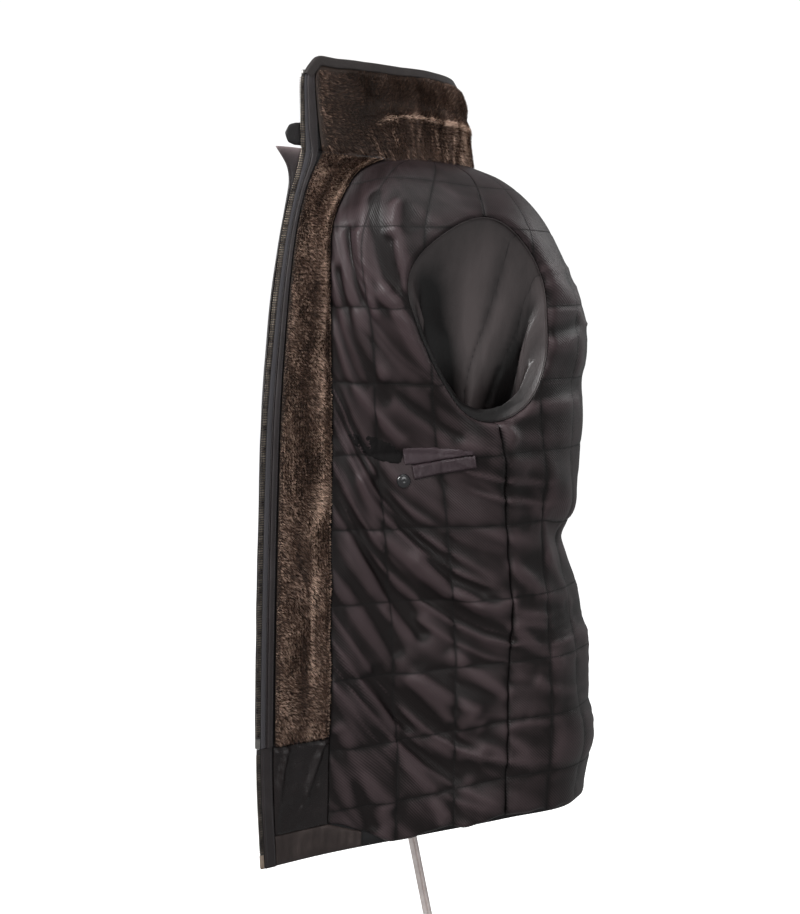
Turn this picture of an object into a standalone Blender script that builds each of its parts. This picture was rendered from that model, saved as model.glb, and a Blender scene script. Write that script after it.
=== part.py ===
"""Three-quarter leather coat, turned inside out on a slender stand.

Metres, +Z up.  The coat's front faces -Y and its own right half lies at +X.  The origin is the middle of the
stand's underside.  The lining and the fur face outwards, the leather faces the hollow, and the sleeves hang
inside the hollow.

Every piece of cloth is a wall worked out from one coat surface.  The surface has two parameters: `u` runs round
the body through numbered seams, and `w` runs up it, in metres above the stand's underside, and on over the
shoulder to the neck.
"""

import math
from typing import NamedTuple

import bmesh
import bpy
import numpy as np
from mathutils import Vector
from mathutils.bvhtree import BVHTree

# ---------------------------------------------------------------------------------------------------------
# Driving dimensions
# ---------------------------------------------------------------------------------------------------------
COAT, CUTTERS = "leather_jacket_on_stand", "cutters"
GAP = 0.0003              # between pieces that touch
LEATHER = 0.0018          # body leather
LINING_STITCHED = 0.0020  # lining and wadding where a quilt line holds them down
LINING_FLOOR = 0.0005     # the lining's inner face above the leather
QUILT_PUFF = 0.0050       # how far a quilt square rises above its lines
FUR_PILE = 0.0090         # fur facing, skin and pile
FUR_SIDE_GAP = 0.0014     # the fur's skin stops this far short of the seams beside it
COLLAR_PILE = 0.0100      # collar fur, skin and pile
SLEEVE_LEATHER = 0.0015
SLEEVE_LINING = 0.0012

HEM_LEVEL = 0.300         # lowest corner of the fronts above the floor
NECK_LEVEL = 1.165        # `w` at the neck seam
HEM_BAND_TOP = 0.336
FUR_BOTTOM = 0.440
COLLAR_ROWS = (0.0, 0.035, 0.22, 0.45, 0.72, 0.94, 1.0)   # the fur runs from the second to the last but one

TAPE_START, TAPE_END = 0.0006, 0.0080       # zip tape, measured in from the front edge
BAND_START, BAND_END = 0.0083, 0.0155       # leather band between the tape and the fur
BAND_HEIGHT, TAPE_HEIGHT, MAIN_BAND_HEIGHT = 0.0040, 0.0016, 0.0024
CHAIN_OUT, CHAIN_IN = -0.0056, -0.0003      # zip teeth, proud of the front edge
CHAIN_HALF = 0.0013

# Seams round the coat, as values of `u`.  The left half runs on from the centre back to its own front edge.
EDGE, FACING_SEAM, QUILT_SEAM, SIDE_SEAM, BACK_QUILT, CENTRE_BACK = 0.0, 1.0, 2.0, 4.0, 6.0, 7.0
LAP = 2.0 * CENTRE_BACK
FACING_START = 0.178      # where the fur starts, just past the leather band
METRES_PER_U = 0.075      # mean cloth length between two numbered seams
METRES_ON_FACING = 0.088  # the same on the facing


class Section(NamedTuple):
    """One level of the right half: (x, y) at each seam, and how far the side and back ride up there."""

    level: float
    lift: float
    edge: tuple
    facing: tuple
    quilt: tuple
    side: tuple
    back_quilt: tuple
    back: tuple


SECTIONS = (
    Section(0.300, 0.020, (.164, -.205), (.129, -.124), (.109, -.037), (.114, .100), (.072, .205), (.000, .242)),
    Section(0.400, 0.022, (.164, -.209), (.129, -.122), (.109, -.037), (.115, .103), (.076, .208), (.000, .248)),
    Section(0.500, 0.008, (.163, -.208), (.130, -.121), (.112, -.040), (.115, .105), (.072, .202), (.002, .241)),
    Section(0.585, 0.000, (.162, -.206), (.130, -.120), (.116, -.045), (.119, .105), (.068, .196), (.006, .231)),
    Section(0.655, 0.000, (.161, -.204), (.130, -.119), (.122, -.052), (.126, .098), (.064, .181), (.010, .203)),
    Section(0.740, 0.000, (.159, -.201), (.131, -.118), (.130, -.060), (.135, .088), (.074, .193), (.008, .226)),
    Section(0.820, 0.000, (.157, -.197), (.132, -.117), (.140, -.066), (.147, .070), (.080, .198), (.006, .235)),
    Section(0.900, 0.000, (.153, -.189), (.135, -.118), (.155, -.074), (.164, .060), (.084, .196), (.004, .235)),
    Section(0.970, 0.000, (.148, -.180), (.137, -.118), (.163, -.082), (.181, .054), (.084, .184), (.002, .215)),
    Section(1.030, 0.000, (.140, -.169), (.134, -.114), (.163, -.082), (.188, .050), (.084, .163), (.000, .184)),
)
LIFT_SHARE = (0.0, 0.0, 0.15, 1.0, 1.1, 1.0)


class YokeSection(NamedTuple):
    """One row over the shoulder, from the chest to the neck seam: (x, y, z) at each seam."""

    row: float
    edge: tuple
    facing: tuple
    quilt: tuple
    side: tuple
    back_quilt: tuple
    back: tuple


YOKE_SECTIONS = (
    YokeSection(1.075, (.137, -.160, 1.068), (.129, -.103, 1.064), (.155, -.066, 1.070), (.172, .049, 1.062),
                (.092, .134, 1.064), (.000, .154, 1.068)),
    YokeSection(1.120, (.133, -.152, 1.094), (.119, -.082, 1.094), (.134, -.042, 1.098), (.134, .048, 1.090),
                (.078, .104, 1.090), (.000, .117, 1.094)),
    YokeSection(1.165, (.130, -.146, 1.118), (.100, -.046, 1.112), (.094, -.012, 1.112), (.086, .040, 1.109),
                (.046, .074, 1.108), (.000, .082, 1.110)),
)


class LeftShift(NamedTuple):
    """How far the left half departs from the mirrored right half: (outwards, backwards) at each seam."""

    row: float
    edge: tuple
    facing: tuple
    quilt: tuple
    side: tuple
    back_quilt: tuple
    back: tuple


LEFT_SHIFTS = (
    LeftShift(0.300, (-.064, .068), (.016, .060), (.050, .048), (.023, .033), (.010, .006), (0, 0)),
    LeftShift(0.970, (-.063, .066), (-.012, .056), (.002, .043), (.008, .017), (.003, .004), (0, 0)),
    LeftShift(1.165, (-.052, .058), (.010, .022), (0, .014), (0, 0), (0, 0), (0, 0)),
)


class CollarSection(NamedTuple):
    """One row of the right half of the collar above the neck seam: (x, y, z) at each seam."""

    height: float
    edge: tuple
    facing: tuple
    quilt: tuple
    side: tuple
    back_quilt: tuple
    back: tuple


COLLAR_SECTIONS = (
    CollarSection(0.45, (.130, -.147, 1.164), (.108, -.070, 1.170), (.092, -.020, 1.172), (.072, .036, 1.168),
                  (.036, .070, 1.162), (.000, .080, 1.160)),
    CollarSection(0.75, (.130, -.147, 1.198), (.110, -.080, 1.204), (.094, -.028, 1.203), (.070, .032, 1.197),
                  (.035, .066, 1.190), (.000, .076, 1.188)),
    CollarSection(1.00, (.127, -.142, 1.223), (.108, -.085, 1.228), (.090, -.035, 1.226), (.060, .028, 1.219),
                  (.028, .056, 1.212), (.000, .064, 1.210)),
)


class Fold(NamedTuple):
    """A soft ridge (height > 0) or trough along start, middle, end, each (u, w); width is one spread, in metres."""

    start: tuple
    middle: tuple
    end: tuple
    height: float
    width: float


FOLDS = (
    Fold((2.0, 1.045), (2.4, .95), (3.0, .865), 0.007, 0.024),
    Fold((1.6, 1.00), (2.2, .90), (3.1, .80), -0.006, 0.020),
    Fold((1.2, 1.02), (2.0, .87), (3.9, .765), 0.008, 0.022),
    Fold((1.2, .92), (1.9, .82), (3.4, .73), -0.005, 0.020),
    Fold((3.6, .78), (5.0, .73), (6.2, .69), 0.007, 0.024),
    Fold((4.6, .72), (5.8, .665), (6.8, .655), -0.010, 0.022),
    Fold((5.6, .86), (6.2, .84), (6.9, .85), -0.004, 0.018),
    Fold((1.2, .62), (2.1, .54), (3.1, .45), 0.005, 0.022),
    Fold((1.1, .52), (1.6, .42), (2.2, .34), 0.005, 0.020),
    Fold((2.4, .62), (3.2, .56), (3.8, .47), -0.004, 0.022),
    Fold((4.2, .50), (5.2, .42), (6.2, .38), 0.004, 0.024),
    Fold((1.3, .80), (1.8, .775), (2.4, .765), -0.006, 0.016),
)

QUILT_ROWS = (.350, .423, .507, .595, .683, .770, .855, .942, 1.030, 1.098, NECK_LEVEL)
SHELL_ROWS = (HEM_LEVEL, HEM_BAND_TOP, .350, .374, .399, .423, FUR_BOTTOM, .479, .507, .536, .566, .595, .624, .654,
              .683, .712, .741, .770, .798, .827, .855, .884, .913, .942, .971, 1.000, 1.030, 1.064, 1.098, 1.132,
              NECK_LEVEL)
FACING_MIDDLE = 0.59
FRONT_COLUMNS = (EDGE, FACING_START, FACING_MIDDLE, FACING_SEAM, 1.5, QUILT_SEAM, 2.5, 3.0, 3.5, SIDE_SEAM)
BACK_COLUMNS = tuple(SIDE_SEAM + 0.5 * i for i in range(13))
LINING_LIP = 0.003        # the lining ends this far above the hem's edge
LIP_FULL, LIP_NONE = FACING_SEAM, QUILT_SEAM
CELL_AT_HEM = -0.4        # the quilt's row number at the hem, below its first line
NECK_FLATTENING = 0.03    # the quilting lies flat this close to the neck seam
HEM_BAND_END = 1.5
PILE_AT_SEAM = 0.72       # share of the fur's pile that stands at its seams
COLLAR_RISE = (0.62, 0.95, 0.80, 1.0, 0.7)      # share of the pile at each row of the collar's fur
COLLAR_EDGE_LENGTH = 0.105
STOP_ROOM, MAIN_ZIP_HEADROOM = 0.01, 0.004
BINDING_ROOM, BINDING_HEIGHT = 0.008, 0.0045

# Armhole, seen from the side: radius from its middle every 30 degrees, from the back round over the top.
ARMHOLE_MIDDLE = (0.055, 0.925)
ARMHOLE_RADII = (.091, .096, .104, .118, .113, .107, .084, .077, .088, .116, .120, .104)
ARMHOLE_SIDES = 18
LEFT_ARMHOLE_SHIFT = 0.017
EGG_HALF_SIZE = (0.093, 0.122)            # half the armhole's width and height
CUTTER_SPAN = (0.045, 0.280)              # |x| from which, and to which, an armhole is cut
OUTSIDE, WALL_IF_MISSED = 0.4, 0.12       # |x| where a sight line starts, and what it reads if it meets nothing
SLEEVE_MOUTH_DEPTH = 0.008                # the sleeve keeps the armhole's outline this far in
LINING_MOUTH_GAP, LEATHER_MOUTH_GAP = 0.0010, 0.0009


class SleeveRing(NamedTuple):
    """A ring of the sleeve: its turn from upright, its outer lowest point, and its size when flattened."""

    turn: float
    x: float
    y: float
    z: float
    half_width: float
    height: float
    roundness: float


SLEEVE_RINGS = (
    SleeveRing(22, .130, .056, .792, .089, .205, 0.5),
    SleeveRing(46, .121, .057, .772, .086, .145, 1.0),
    SleeveRing(70, .110, .058, .742, .084, .094, 1.0),
    SleeveRing(90, .099, .060, .700, .081, .066, 1.0),
    SleeveRing(90, .093, .060, .600, .077, .058, 1.0),
    SleeveRing(90, .089, .060, .490, .071, .054, 1.0),
    SleeveRing(90, .087, .060, .365, .062, .050, 1.0),
)


class FlapRow(NamedTuple):
    """The storm flap's free edge at one level: how far past the front edge it stands, and how far it curls out."""

    level: float
    reach: float
    curl: float


FLAP_ROWS = (
    FlapRow(FUR_BOTTOM, 0.0040, 0.0), FlapRow(0.60, 0.0045, 0.0), FlapRow(0.80, 0.0055, 0.0),
    FlapRow(0.88, 0.0072, 0.0), FlapRow(0.95, 0.0098, 0.0), FlapRow(1.05, 0.0110, 0.0),
    FlapRow(1.10, 0.0135, 0.0), FlapRow(1.13, 0.0200, 0.0008), FlapRow(NECK_LEVEL, 0.0320, 0.0025),
)
FLAP_THICKNESS, FLAP_HIDDEN_U = 0.0022, FACING_MIDDLE
TAB_OUTLINE = ((-.26, .20, .30), (-.22, .14, .35), (-.12, .11, .37), (.35, .11, .37))   # u, then lowest and highest v
TAB_THICKNESS = 0.0035

# Inner pocket on the right front: the welt's top edge from front to back, as (y, z), and its depth
POCKET_FRONT, POCKET_BACK = (-.0225, .7570), (.047, .7700)
WELT_DEPTH, WELT_THICKNESS = 0.0165, 0.0026
WELT_COLUMNS = 8
SNAP_PLACE, SNAP_RADIUS, SNAP_HEIGHT = (-.0325, .7395), 0.0082, 0.0042

# Metal at the zips' ends
STOP_LENGTH, PIN_LENGTH, MAIN_PIN_LENGTH = 0.0045, 0.0125, 0.0170

# Stand
BASE_RADIUS, BASE_THICKNESS, BASE_EDGE = 0.170, 0.012, 0.003
SOCKET_PROFILE = ((.0085, .040), (.0125, .0385), (.0135, .006), (.030, .004), (.030, .0))   # (radius, height)
POLE_RADIUS = 0.0058
POLE_FOOT_Y, POLE_BEND_LEVEL = 0.054, 0.080
POLE_LEAN = 0.199         # run over rise of the lower pole, towards the back at the foot
POLE_KNEE_LEVEL = 0.440
YOKE_MIDDLE_Y, YOKE_HALF_DEPTH, YOKE_HEIGHT, YOKE_REACH = 0.046, 0.013, 0.020, 0.148
NECK_HALF_WIDTH = 0.092
YOKE_SIGHT_LEVEL = 1.020  # below the shoulders, where their height over the yoke is measured from


class Finish(NamedTuple):
    """Colour, roughness and metallic value of a material."""

    colour: tuple
    roughness: float
    metallic: float


FINISHES = {
    "leather": Finish((.012, .012, .014), 0.42, 0.0),
    "quilted_lining": Finish((.030, .026, .026), 0.45, 0.0),
    "sleeve_satin": Finish((.050, .052, .050), 0.35, 0.0),
    "fur": Finish((.060, .040, .024), 0.85, 0.0),
    "zip_metal": Finish((.16, .14, .12), 0.38, 1.0),
    "bright_metal": Finish((.70, .69, .67), 0.25, 1.0),
    "snap_black": Finish((.010, .010, .010), 0.25, 0.6),
    "stand_aluminium": Finish((.62, .58, .57), 0.45, 0.9),
    "stand_steel": Finish((.55, .54, .53), 0.40, 0.9),
}


# ---------------------------------------------------------------------------------------------------------
# Surface maths
# ---------------------------------------------------------------------------------------------------------
def smooth_through(knots, values, t):
    """Cubic curves through `values` at `knots`, read at each t.

    `values` is (knots, ...) for one curve, or (points, knots, 3) for a curve of its own at each t.
    """
    knots, values, t = np.asarray(knots, float), np.asarray(values, float), np.asarray(t, float)
    own = values.ndim == 3 and values.shape[0] == len(t) and values.shape[1] == len(knots)
    table = np.swapaxes(values, 0, 1) if own else values
    spans = np.diff(knots)
    column = (-1,) + (1,) * (table.ndim - 1)
    slopes = np.diff(table, axis=0) / spans.reshape(column)
    tangents = np.empty_like(table)
    tangents[0], tangents[-1] = slopes[0], slopes[-1]
    share = (spans[:-1] / (spans[:-1] + spans[1:])).reshape(column)
    tangents[1:-1] = slopes[:-1] * (1 - share) + slopes[1:] * share
    inside = np.clip(t, knots[0], knots[-1])
    i = np.clip(np.searchsorted(knots, t, side="right") - 1, 0, len(spans) - 1)
    end = np.where(t < knots[0], 0, len(knots) - 1)
    pick = (lambda rows, k: rows[k, np.arange(len(t))]) if own else (lambda rows, k: rows[k])
    shape = (-1,) + (1,) * (pick(table, i).ndim - 1)
    span, q, beyond = (part.reshape(shape) for part in (spans[i], (inside - knots[i]) / spans[i], t - inside))
    return ((2 * q**3 - 3 * q**2 + 1) * pick(table, i) + (q**3 - 2 * q**2 + q) * span * pick(tangents, i)
            + (-2 * q**3 + 3 * q**2) * pick(table, i + 1) + (q**3 - q**2) * span * pick(tangents, i + 1)
            + beyond * pick(tangents, end))


RIGHT_KNOTS = np.array([EDGE, FACING_SEAM, QUILT_SEAM, SIDE_SEAM, BACK_QUILT, CENTRE_BACK])
ALL_KNOTS = np.concatenate([RIGHT_KNOTS, (LAP - RIGHT_KNOTS[:-1])[::-1]])


def right_rows():
    """The right half's rows, each (x, y, z) at the six seams, and the `w` of each row."""
    rows, levels = [], []
    for section in SECTIONS:
        points = section[2:]
        rows.append([(x, y, section.level + section.lift * share) for (x, y), share in zip(points, LIFT_SHARE)])
        levels.append(section.level)
    for section in YOKE_SECTIONS:
        rows.append(list(section[1:]))
        levels.append(section.row)
    return np.array(levels), np.array(rows)


def both_halves(levels, rows, shift_at):
    """Adds the left half: the right half mirrored, then moved by the shift of its row."""
    left = rows[:, :-1][:, ::-1] * np.array([-1.0, 1.0, 1.0])
    shift = shift_at(levels)[:, :-1][:, ::-1]
    left[..., 0] -= shift[..., 0]
    left[..., 1] += shift[..., 1]
    return np.concatenate([rows, left], axis=1)


def left_shift_at(levels):
    """Left shifts (row, seam, 2) at the given `w` values."""
    knots = [entry.row for entry in LEFT_SHIFTS]
    table = np.array([entry[1:] for entry in LEFT_SHIFTS], float)
    flat = table.reshape(len(knots), -1)
    read = np.stack([np.interp(levels, knots, flat[:, k]) for k in range(flat.shape[1])], axis=1)
    return read.reshape(len(levels), *table.shape[1:])


COAT_LEVELS, RIGHT_ROWS = right_rows()
COAT_ROWS = both_halves(COAT_LEVELS, RIGHT_ROWS, left_shift_at)


def bare_surface(u, w):
    """Points of the coat's surface without folds; u and w are arrays of one shape."""
    u, w = np.broadcast_arrays(np.asarray(u, float), np.asarray(w, float))
    meridians = smooth_through(ALL_KNOTS, np.swapaxes(COAT_ROWS, 0, 1), u.ravel())
    return smooth_through(COAT_LEVELS, meridians, w.ravel()).reshape(*u.shape, 3)


def right_side(u):
    """`u` folded onto the right half, where the tables of folds and quilting are written."""
    return np.where(u > CENTRE_BACK, LAP - u, u)


def fold_height(u, w):
    """Sum of all folds at (u, w): each falls away from its line as a bell curve."""
    side_u = right_side(u) * METRES_PER_U
    total = np.zeros(np.broadcast(u, w).shape)
    for fold in FOLDS:
        nearest = np.full(total.shape, 1e9)
        path = [np.array([p[0] * METRES_PER_U, p[1]]) for p in (fold.start, fold.middle, fold.end)]
        for a, b in zip(path[:-1], path[1:]):
            run = b - a
            t = np.clip(((side_u - a[0]) * run[0] + (w - a[1]) * run[1]) / run.dot(run), 0, 1)
            away = (side_u - a[0] - t * run[0])**2 + (w - a[1] - t * run[1])**2
            nearest = np.minimum(nearest, away)
        total += fold.height * np.exp(-nearest / (2 * fold.width**2))
    return total


def normals_of(surface, u, w):
    """Unit normals of a surface function, outwards, from its slopes along u and w."""
    du, dw = 0.02, 0.002
    along = surface(u + du, w) - surface(u - du, w)
    up = surface(u, w + dw) - surface(u, w - dw)
    normal = np.cross(along, up)
    return normal / np.linalg.norm(normal, axis=-1, keepdims=True)


def coat_surface(u, w):
    """Points of the coat's surface with its folds."""
    u, w = np.broadcast_arrays(np.asarray(u, float), np.asarray(w, float))
    height = fold_height(u, w)[..., None]
    return bare_surface(u, w) + height * normals_of(bare_surface, u, w)


def neck_rim_height(u):
    """Height of the highest point of the layers' rims at the neck seam."""
    w = np.full(np.shape(u), NECK_LEVEL)
    base, normal = coat_surface(u, w), normals_of(coat_surface, u, w)
    outer = np.where(right_side(u) < FACING_SEAM, FUR_PILE, LINING_STITCHED + GAP) + GAP
    tips = [base[..., 2], (base + normal * outer[..., None])[..., 2], (base - normal * LEATHER)[..., 2]]
    return np.max(tips, axis=0)


def collar_surface(u, v):
    """Points of the collar; v is 0 at the neck seam and 1 at the top edge."""
    u, v = np.broadcast_arrays(np.asarray(u, float), np.asarray(v, float))
    heights = [0.0] + [section.height for section in COLLAR_SECTIONS]
    rows = np.array([list(section[1:]) for section in COLLAR_SECTIONS])
    top_shift = left_shift_at(np.full(len(rows), NECK_LEVEL))
    rows = both_halves(np.full(len(rows), NECK_LEVEL), rows, lambda levels: top_shift)
    foot = coat_surface(u.ravel(), np.full(u.size, NECK_LEVEL))
    foot[:, 2] = neck_rim_height(u.ravel()) + GAP
    upper = smooth_through(ALL_KNOTS, np.swapaxes(rows, 0, 1), u.ravel())
    meridians = np.concatenate([foot[:, None, :], upper], axis=1)
    return smooth_through(heights, meridians, v.ravel()).reshape(*u.shape, 3)


# ---------------------------------------------------------------------------------------------------------
# Mesh making
# ---------------------------------------------------------------------------------------------------------
def clear_scene():
    """Empties the scene, then adds a collection for the coat and one for the shapes that cut it."""
    for obj in list(bpy.data.objects):
        bpy.data.objects.remove(obj, do_unlink=True)
    for name in (COAT, CUTTERS):
        bpy.context.scene.collection.children.link(bpy.data.collections.new(name))


def finish_material(name):
    material = bpy.data.materials.get(name)
    if material is None:
        finish = FINISHES[name]
        material = bpy.data.materials.new(name)
        material.use_nodes = True
        shader = material.node_tree.nodes["Principled BSDF"]
        shader.inputs["Base Color"].default_value = (*finish.colour, 1.0)
        shader.inputs["Roughness"].default_value = finish.roughness
        shader.inputs["Metallic"].default_value = finish.metallic
    return material


def add_object(name, mesh, finish):
    """Links a mesh as a named object of the coat, with its finish."""
    obj = bpy.data.objects.new(name, mesh)
    mesh.materials.clear()
    mesh.materials.append(finish_material(finish))
    bpy.data.collections[COAT].objects.link(obj)
    return obj


def mesh_from(name, points, faces):
    mesh = bpy.data.meshes.new(name)
    mesh.from_pydata([tuple(p) for p in points], [], faces)
    mesh.update()
    shell = bmesh.new()
    shell.from_mesh(mesh)
    bmesh.ops.triangulate(shell, faces=shell.faces[:], quad_method="FIXED")
    bmesh.ops.recalc_face_normals(shell, faces=shell.faces[:])
    shell.to_mesh(mesh)
    shell.free()
    mesh.shade_smooth()
    mesh.set_sharp_from_angle(angle=math.radians(50))
    return mesh


def slab_faces(rows, columns):
    """Faces of a slab whose outer grid (rows x columns) is followed by its inner grid."""
    count = rows * columns
    faces = []
    for j in range(rows - 1):
        for i in range(columns - 1):
            a, b = j * columns + i, j * columns + i + 1
            c, d = b + columns, a + columns
            faces.append((a, b, c, d))
            faces.append((count + a, count + d, count + c, count + b))
    rim = [i for i in range(columns)]
    rim += [j * columns + columns - 1 for j in range(1, rows)]
    rim += [(rows - 1) * columns + i for i in range(columns - 2, -1, -1)]
    rim += [j * columns for j in range(rows - 2, 0, -1)]
    for a, b in zip(rim, rim[1:] + rim[:1]):
        faces.append((b, a, count + a, count + b))
    return faces


def pulled_in(points, side_gap, end_gap):
    """A grid of points with its border rows and columns drawn in along its own edges."""
    points = points.copy()
    for axis, gap in ((1, side_gap), (0, end_gap)):
        lines = np.swapaxes(points, 0, axis)
        for row, neighbour in ((0, 1), (-1, -2)):
            run = lines[neighbour] - lines[row]
            lines[row] += run * (gap / np.linalg.norm(run, axis=-1, keepdims=True))
        points = np.swapaxes(lines, 0, axis)
    return points


def slab(name, outer, inner, finish, side_gap=0.0, end_gap=0.0):
    """A closed wall between two grids of points of one shape (rows, columns, 3)."""
    outer, inner = pulled_in(outer, side_gap, end_gap), pulled_in(inner, side_gap, end_gap)
    rows, columns = outer.shape[:2]
    points = np.concatenate([outer.reshape(-1, 3), inner.reshape(-1, 3)])
    return add_object(name, mesh_from(name, points, slab_faces(rows, columns)), finish)


def grid(columns, rows):
    """Column and row values as two arrays of one shape; rows may differ from column to column."""
    rows = np.asarray(rows, float)
    if rows.ndim == 1:
        rows = np.repeat(rows[:, None], len(columns), axis=1)
    return np.repeat(np.asarray(columns, float)[None, :], rows.shape[0], axis=0), rows


def layer(surface, u, w, outer, inner):
    """Outer and inner grids of a wall that lies `inner` to `outer` above a surface."""
    base, normal = surface(u, w), normals_of(surface, u, w)
    outer = np.broadcast_to(outer, u.shape)[..., None]
    inner = np.broadcast_to(inner, u.shape)[..., None]
    return base + normal * outer, base + normal * inner


def quilt_rise(u, w):
    """How far the quilting stands up: none on a seam or a quilt line, most in the middle of a square."""
    side_u = right_side(u)
    across = np.abs(np.sin(math.pi * side_u))
    cell = np.interp(w, QUILT_ROWS, np.arange(len(QUILT_ROWS)), left=CELL_AT_HEM)
    up = np.abs(np.sin(math.pi * cell))
    at_neck = np.clip((NECK_LEVEL - w) / NECK_FLATTENING, 0, 1)
    return QUILT_PUFF * np.sqrt(across * up) * at_neck


def lining_bottom(u):
    """The lining's lower edge: above the hem band in front, then sagging to the hem's own edge."""
    share = np.clip((right_side(u) - LIP_FULL) / (LIP_NONE - LIP_FULL), 0, 1)
    return HEM_BAND_TOP + (HEM_LEVEL + LINING_LIP - HEM_BAND_TOP) * share


def coat_rows(columns):
    """The shell's rows for the given columns; the second row is the lining's lower edge."""
    rows = np.repeat(np.array(SHELL_ROWS)[:, None], len(columns), axis=1)
    rows[1] = lining_bottom(np.array(columns))
    return rows


def mirrored(columns):
    """The same columns on the left half, still in rising order."""
    return tuple(LAP - u for u in reversed(columns))


# ---------------------------------------------------------------------------------------------------------
# Armholes and sleeves
# ---------------------------------------------------------------------------------------------------------
def armhole_outline(grow=0.0):
    """(y, z) round the armhole, as the radii table gives it, made `grow` larger all round."""
    turns = np.arange(ARMHOLE_SIDES) * 2 * math.pi / ARMHOLE_SIDES
    table = np.array(ARMHOLE_RADII + ARMHOLE_RADII + ARMHOLE_RADII)
    knots = (np.arange(len(table)) - len(ARMHOLE_RADII)) * math.pi / 6
    radius = smooth_through(knots, table, turns)
    points = np.stack([radius * np.cos(turns), radius * np.sin(turns)], axis=1)
    return grown(points, grow) + np.array(ARMHOLE_MIDDLE)


def grown(points, amount):
    """A closed outline moved out by `amount` along the mean normals of its corners."""
    ahead, behind = np.roll(points, -1, axis=0), np.roll(points, 1, axis=0)

    def side_normals(a, b):
        run = b - a
        normal = np.stack([run[:, 1], -run[:, 0]], axis=1)
        return normal / np.linalg.norm(normal, axis=1, keepdims=True)

    before, after = side_normals(behind, points), side_normals(points, ahead)
    middle = before + after
    middle /= np.linalg.norm(middle, axis=1, keepdims=True)
    stretch = 1.0 / np.sum(middle * after, axis=1)
    return points + middle * (amount * stretch)[:, None]


def armhole_cutter(side):
    """A prism along X through one side of the body."""
    shift = 0.0 if side > 0 else LEFT_ARMHOLE_SHIFT
    outline = armhole_outline() + np.array([shift, 0.0])
    ends = [np.column_stack([np.full(len(outline), side * x), outline]) for x in CUTTER_SPAN]
    count = len(outline)
    faces = [tuple(range(count)), tuple(range(2 * count - 1, count - 1, -1))]
    for i in range(count):
        k = (i + 1) % count
        faces.append((i, k, count + k, count + i))
    cutter = bpy.data.objects.new("armhole_cutter_" + ("right" if side > 0 else "left"),
                                  mesh_from("armhole_cutter", np.vstack(ends), faces))
    cutter.hide_render = True
    cutter.display_type = "WIRE"
    bpy.data.collections[CUTTERS].objects.link(cutter)
    return cutter


def cut(obj, cutter):
    boolean = obj.modifiers.new("armhole_" + cutter.name[-5:], "BOOLEAN")
    boolean.operation = "DIFFERENCE"
    boolean.object = cutter


def wall_tree(grids):
    """A search tree over several grids of points, to find where a line along X meets them."""
    points, faces = [], []
    for rows in grids:
        start = len(points)
        height, width = rows.shape[:2]
        points += [tuple(p) for p in rows.reshape(-1, 3)]
        for j in range(height - 1):
            for i in range(width - 1):
                a = start + j * width + i
                faces += [(a, a + 1, a + width + 1), (a, a + width + 1, a + width)]
    return BVHTree.FromPolygons(points, faces)


def wall_x(tree, side, y, z):
    """How far out the wall lies at (y, z) on one side."""
    start = Vector((side * OUTSIDE, y, z))
    hit = tree.ray_cast(start, Vector((-side, 0, 0)))[0]
    return hit.x * side if hit else WALL_IF_MISSED


def inside_wall(tree, side, outlines):
    """At each corner of the outlines, the innermost place of the wall along the edges that meet there."""
    count = len(outlines[0])
    depth = np.full(count, 1.0)
    for outline in outlines:
        for i in range(count):
            for k in (i - 1, (i + 1) % count):
                for share in (0.0, 0.25, 0.5, 0.75, 1.0):
                    y, z = outline[i] * (1 - share) + outline[k] * share
                    depth[i] = min(depth[i], wall_x(tree, side, y, z))
    return depth


def sleeve_rings(side, lining_tree, leather_tree, start_gap, offset, from_lining):
    """Rings of points of a sleeve wall: the armhole's outline first, then flattened tubes hanging down.

    `offset` grows each ring from the sleeve lining's outer face, and `start_gap` sets the first ring back.
    """
    shift = 0.0 if side > 0 else LEFT_ARMHOLE_SHIFT
    outline = armhole_outline(offset - GAP) + np.array([shift, 0.0])
    beyond = armhole_outline(GAP + SLEEVE_LEATHER) + np.array([shift, 0.0])
    wall = inside_wall(leather_tree, side, (outline, beyond))
    mouth = wall
    if from_lining:
        mouth = np.array([wall_x(lining_tree, side, *p) for p in outline])
    mouth = mouth - start_gap
    deep = wall - SLEEVE_MOUTH_DEPTH
    rings = [np.column_stack([side * mouth, outline]), np.column_stack([side * deep, outline])]
    egg = (armhole_outline() - np.array(ARMHOLE_MIDDLE)) / np.array(EGG_HALF_SIZE)
    turns = np.arange(ARMHOLE_SIDES) * 2 * math.pi / ARMHOLE_SIDES
    oval = np.stack([np.cos(turns), np.sin(turns)], axis=1)
    for ring in SLEEVE_RINGS:
        shape = egg * (1 - ring.roundness) + oval * ring.roundness
        flat = np.stack([shape[:, 0] * ring.half_width, shape[:, 1] * ring.height / 2], axis=1)
        flat = grown(flat, offset - GAP)
        turn = math.radians(ring.turn)
        up = flat[:, 1] + ring.height / 2
        x = ring.x - up * math.sin(turn)
        z = ring.z + up * math.cos(turn)
        rings.append(np.column_stack([side * x, ring.y + shift + flat[:, 0], z]))
    return np.array(rings)


def tube_wall(name, outer, inner, finish):
    """An open tube with a wall, between two runs of rings of one shape (rings, sides, 3)."""
    rings, sides = outer.shape[:2]
    count = rings * sides
    faces = []
    for j in range(rings - 1):
        for i in range(sides):
            a, b = j * sides + i, j * sides + (i + 1) % sides
            faces.append((a, b, b + sides, a + sides))
            faces.append((count + a, count + a + sides, count + b + sides, count + b))
    for j in (0, rings - 1):
        for i in range(sides):
            a, b = j * sides + i, j * sides + (i + 1) % sides
            faces.append((a, b, count + b, count + a))
    points = np.concatenate([outer.reshape(-1, 3), inner.reshape(-1, 3)])
    return add_object(name, mesh_from(name, points, faces), finish)


# ---------------------------------------------------------------------------------------------------------
# The coat's pieces
# ---------------------------------------------------------------------------------------------------------
SIDES = (("right", 1), ("left", -1))


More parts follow.
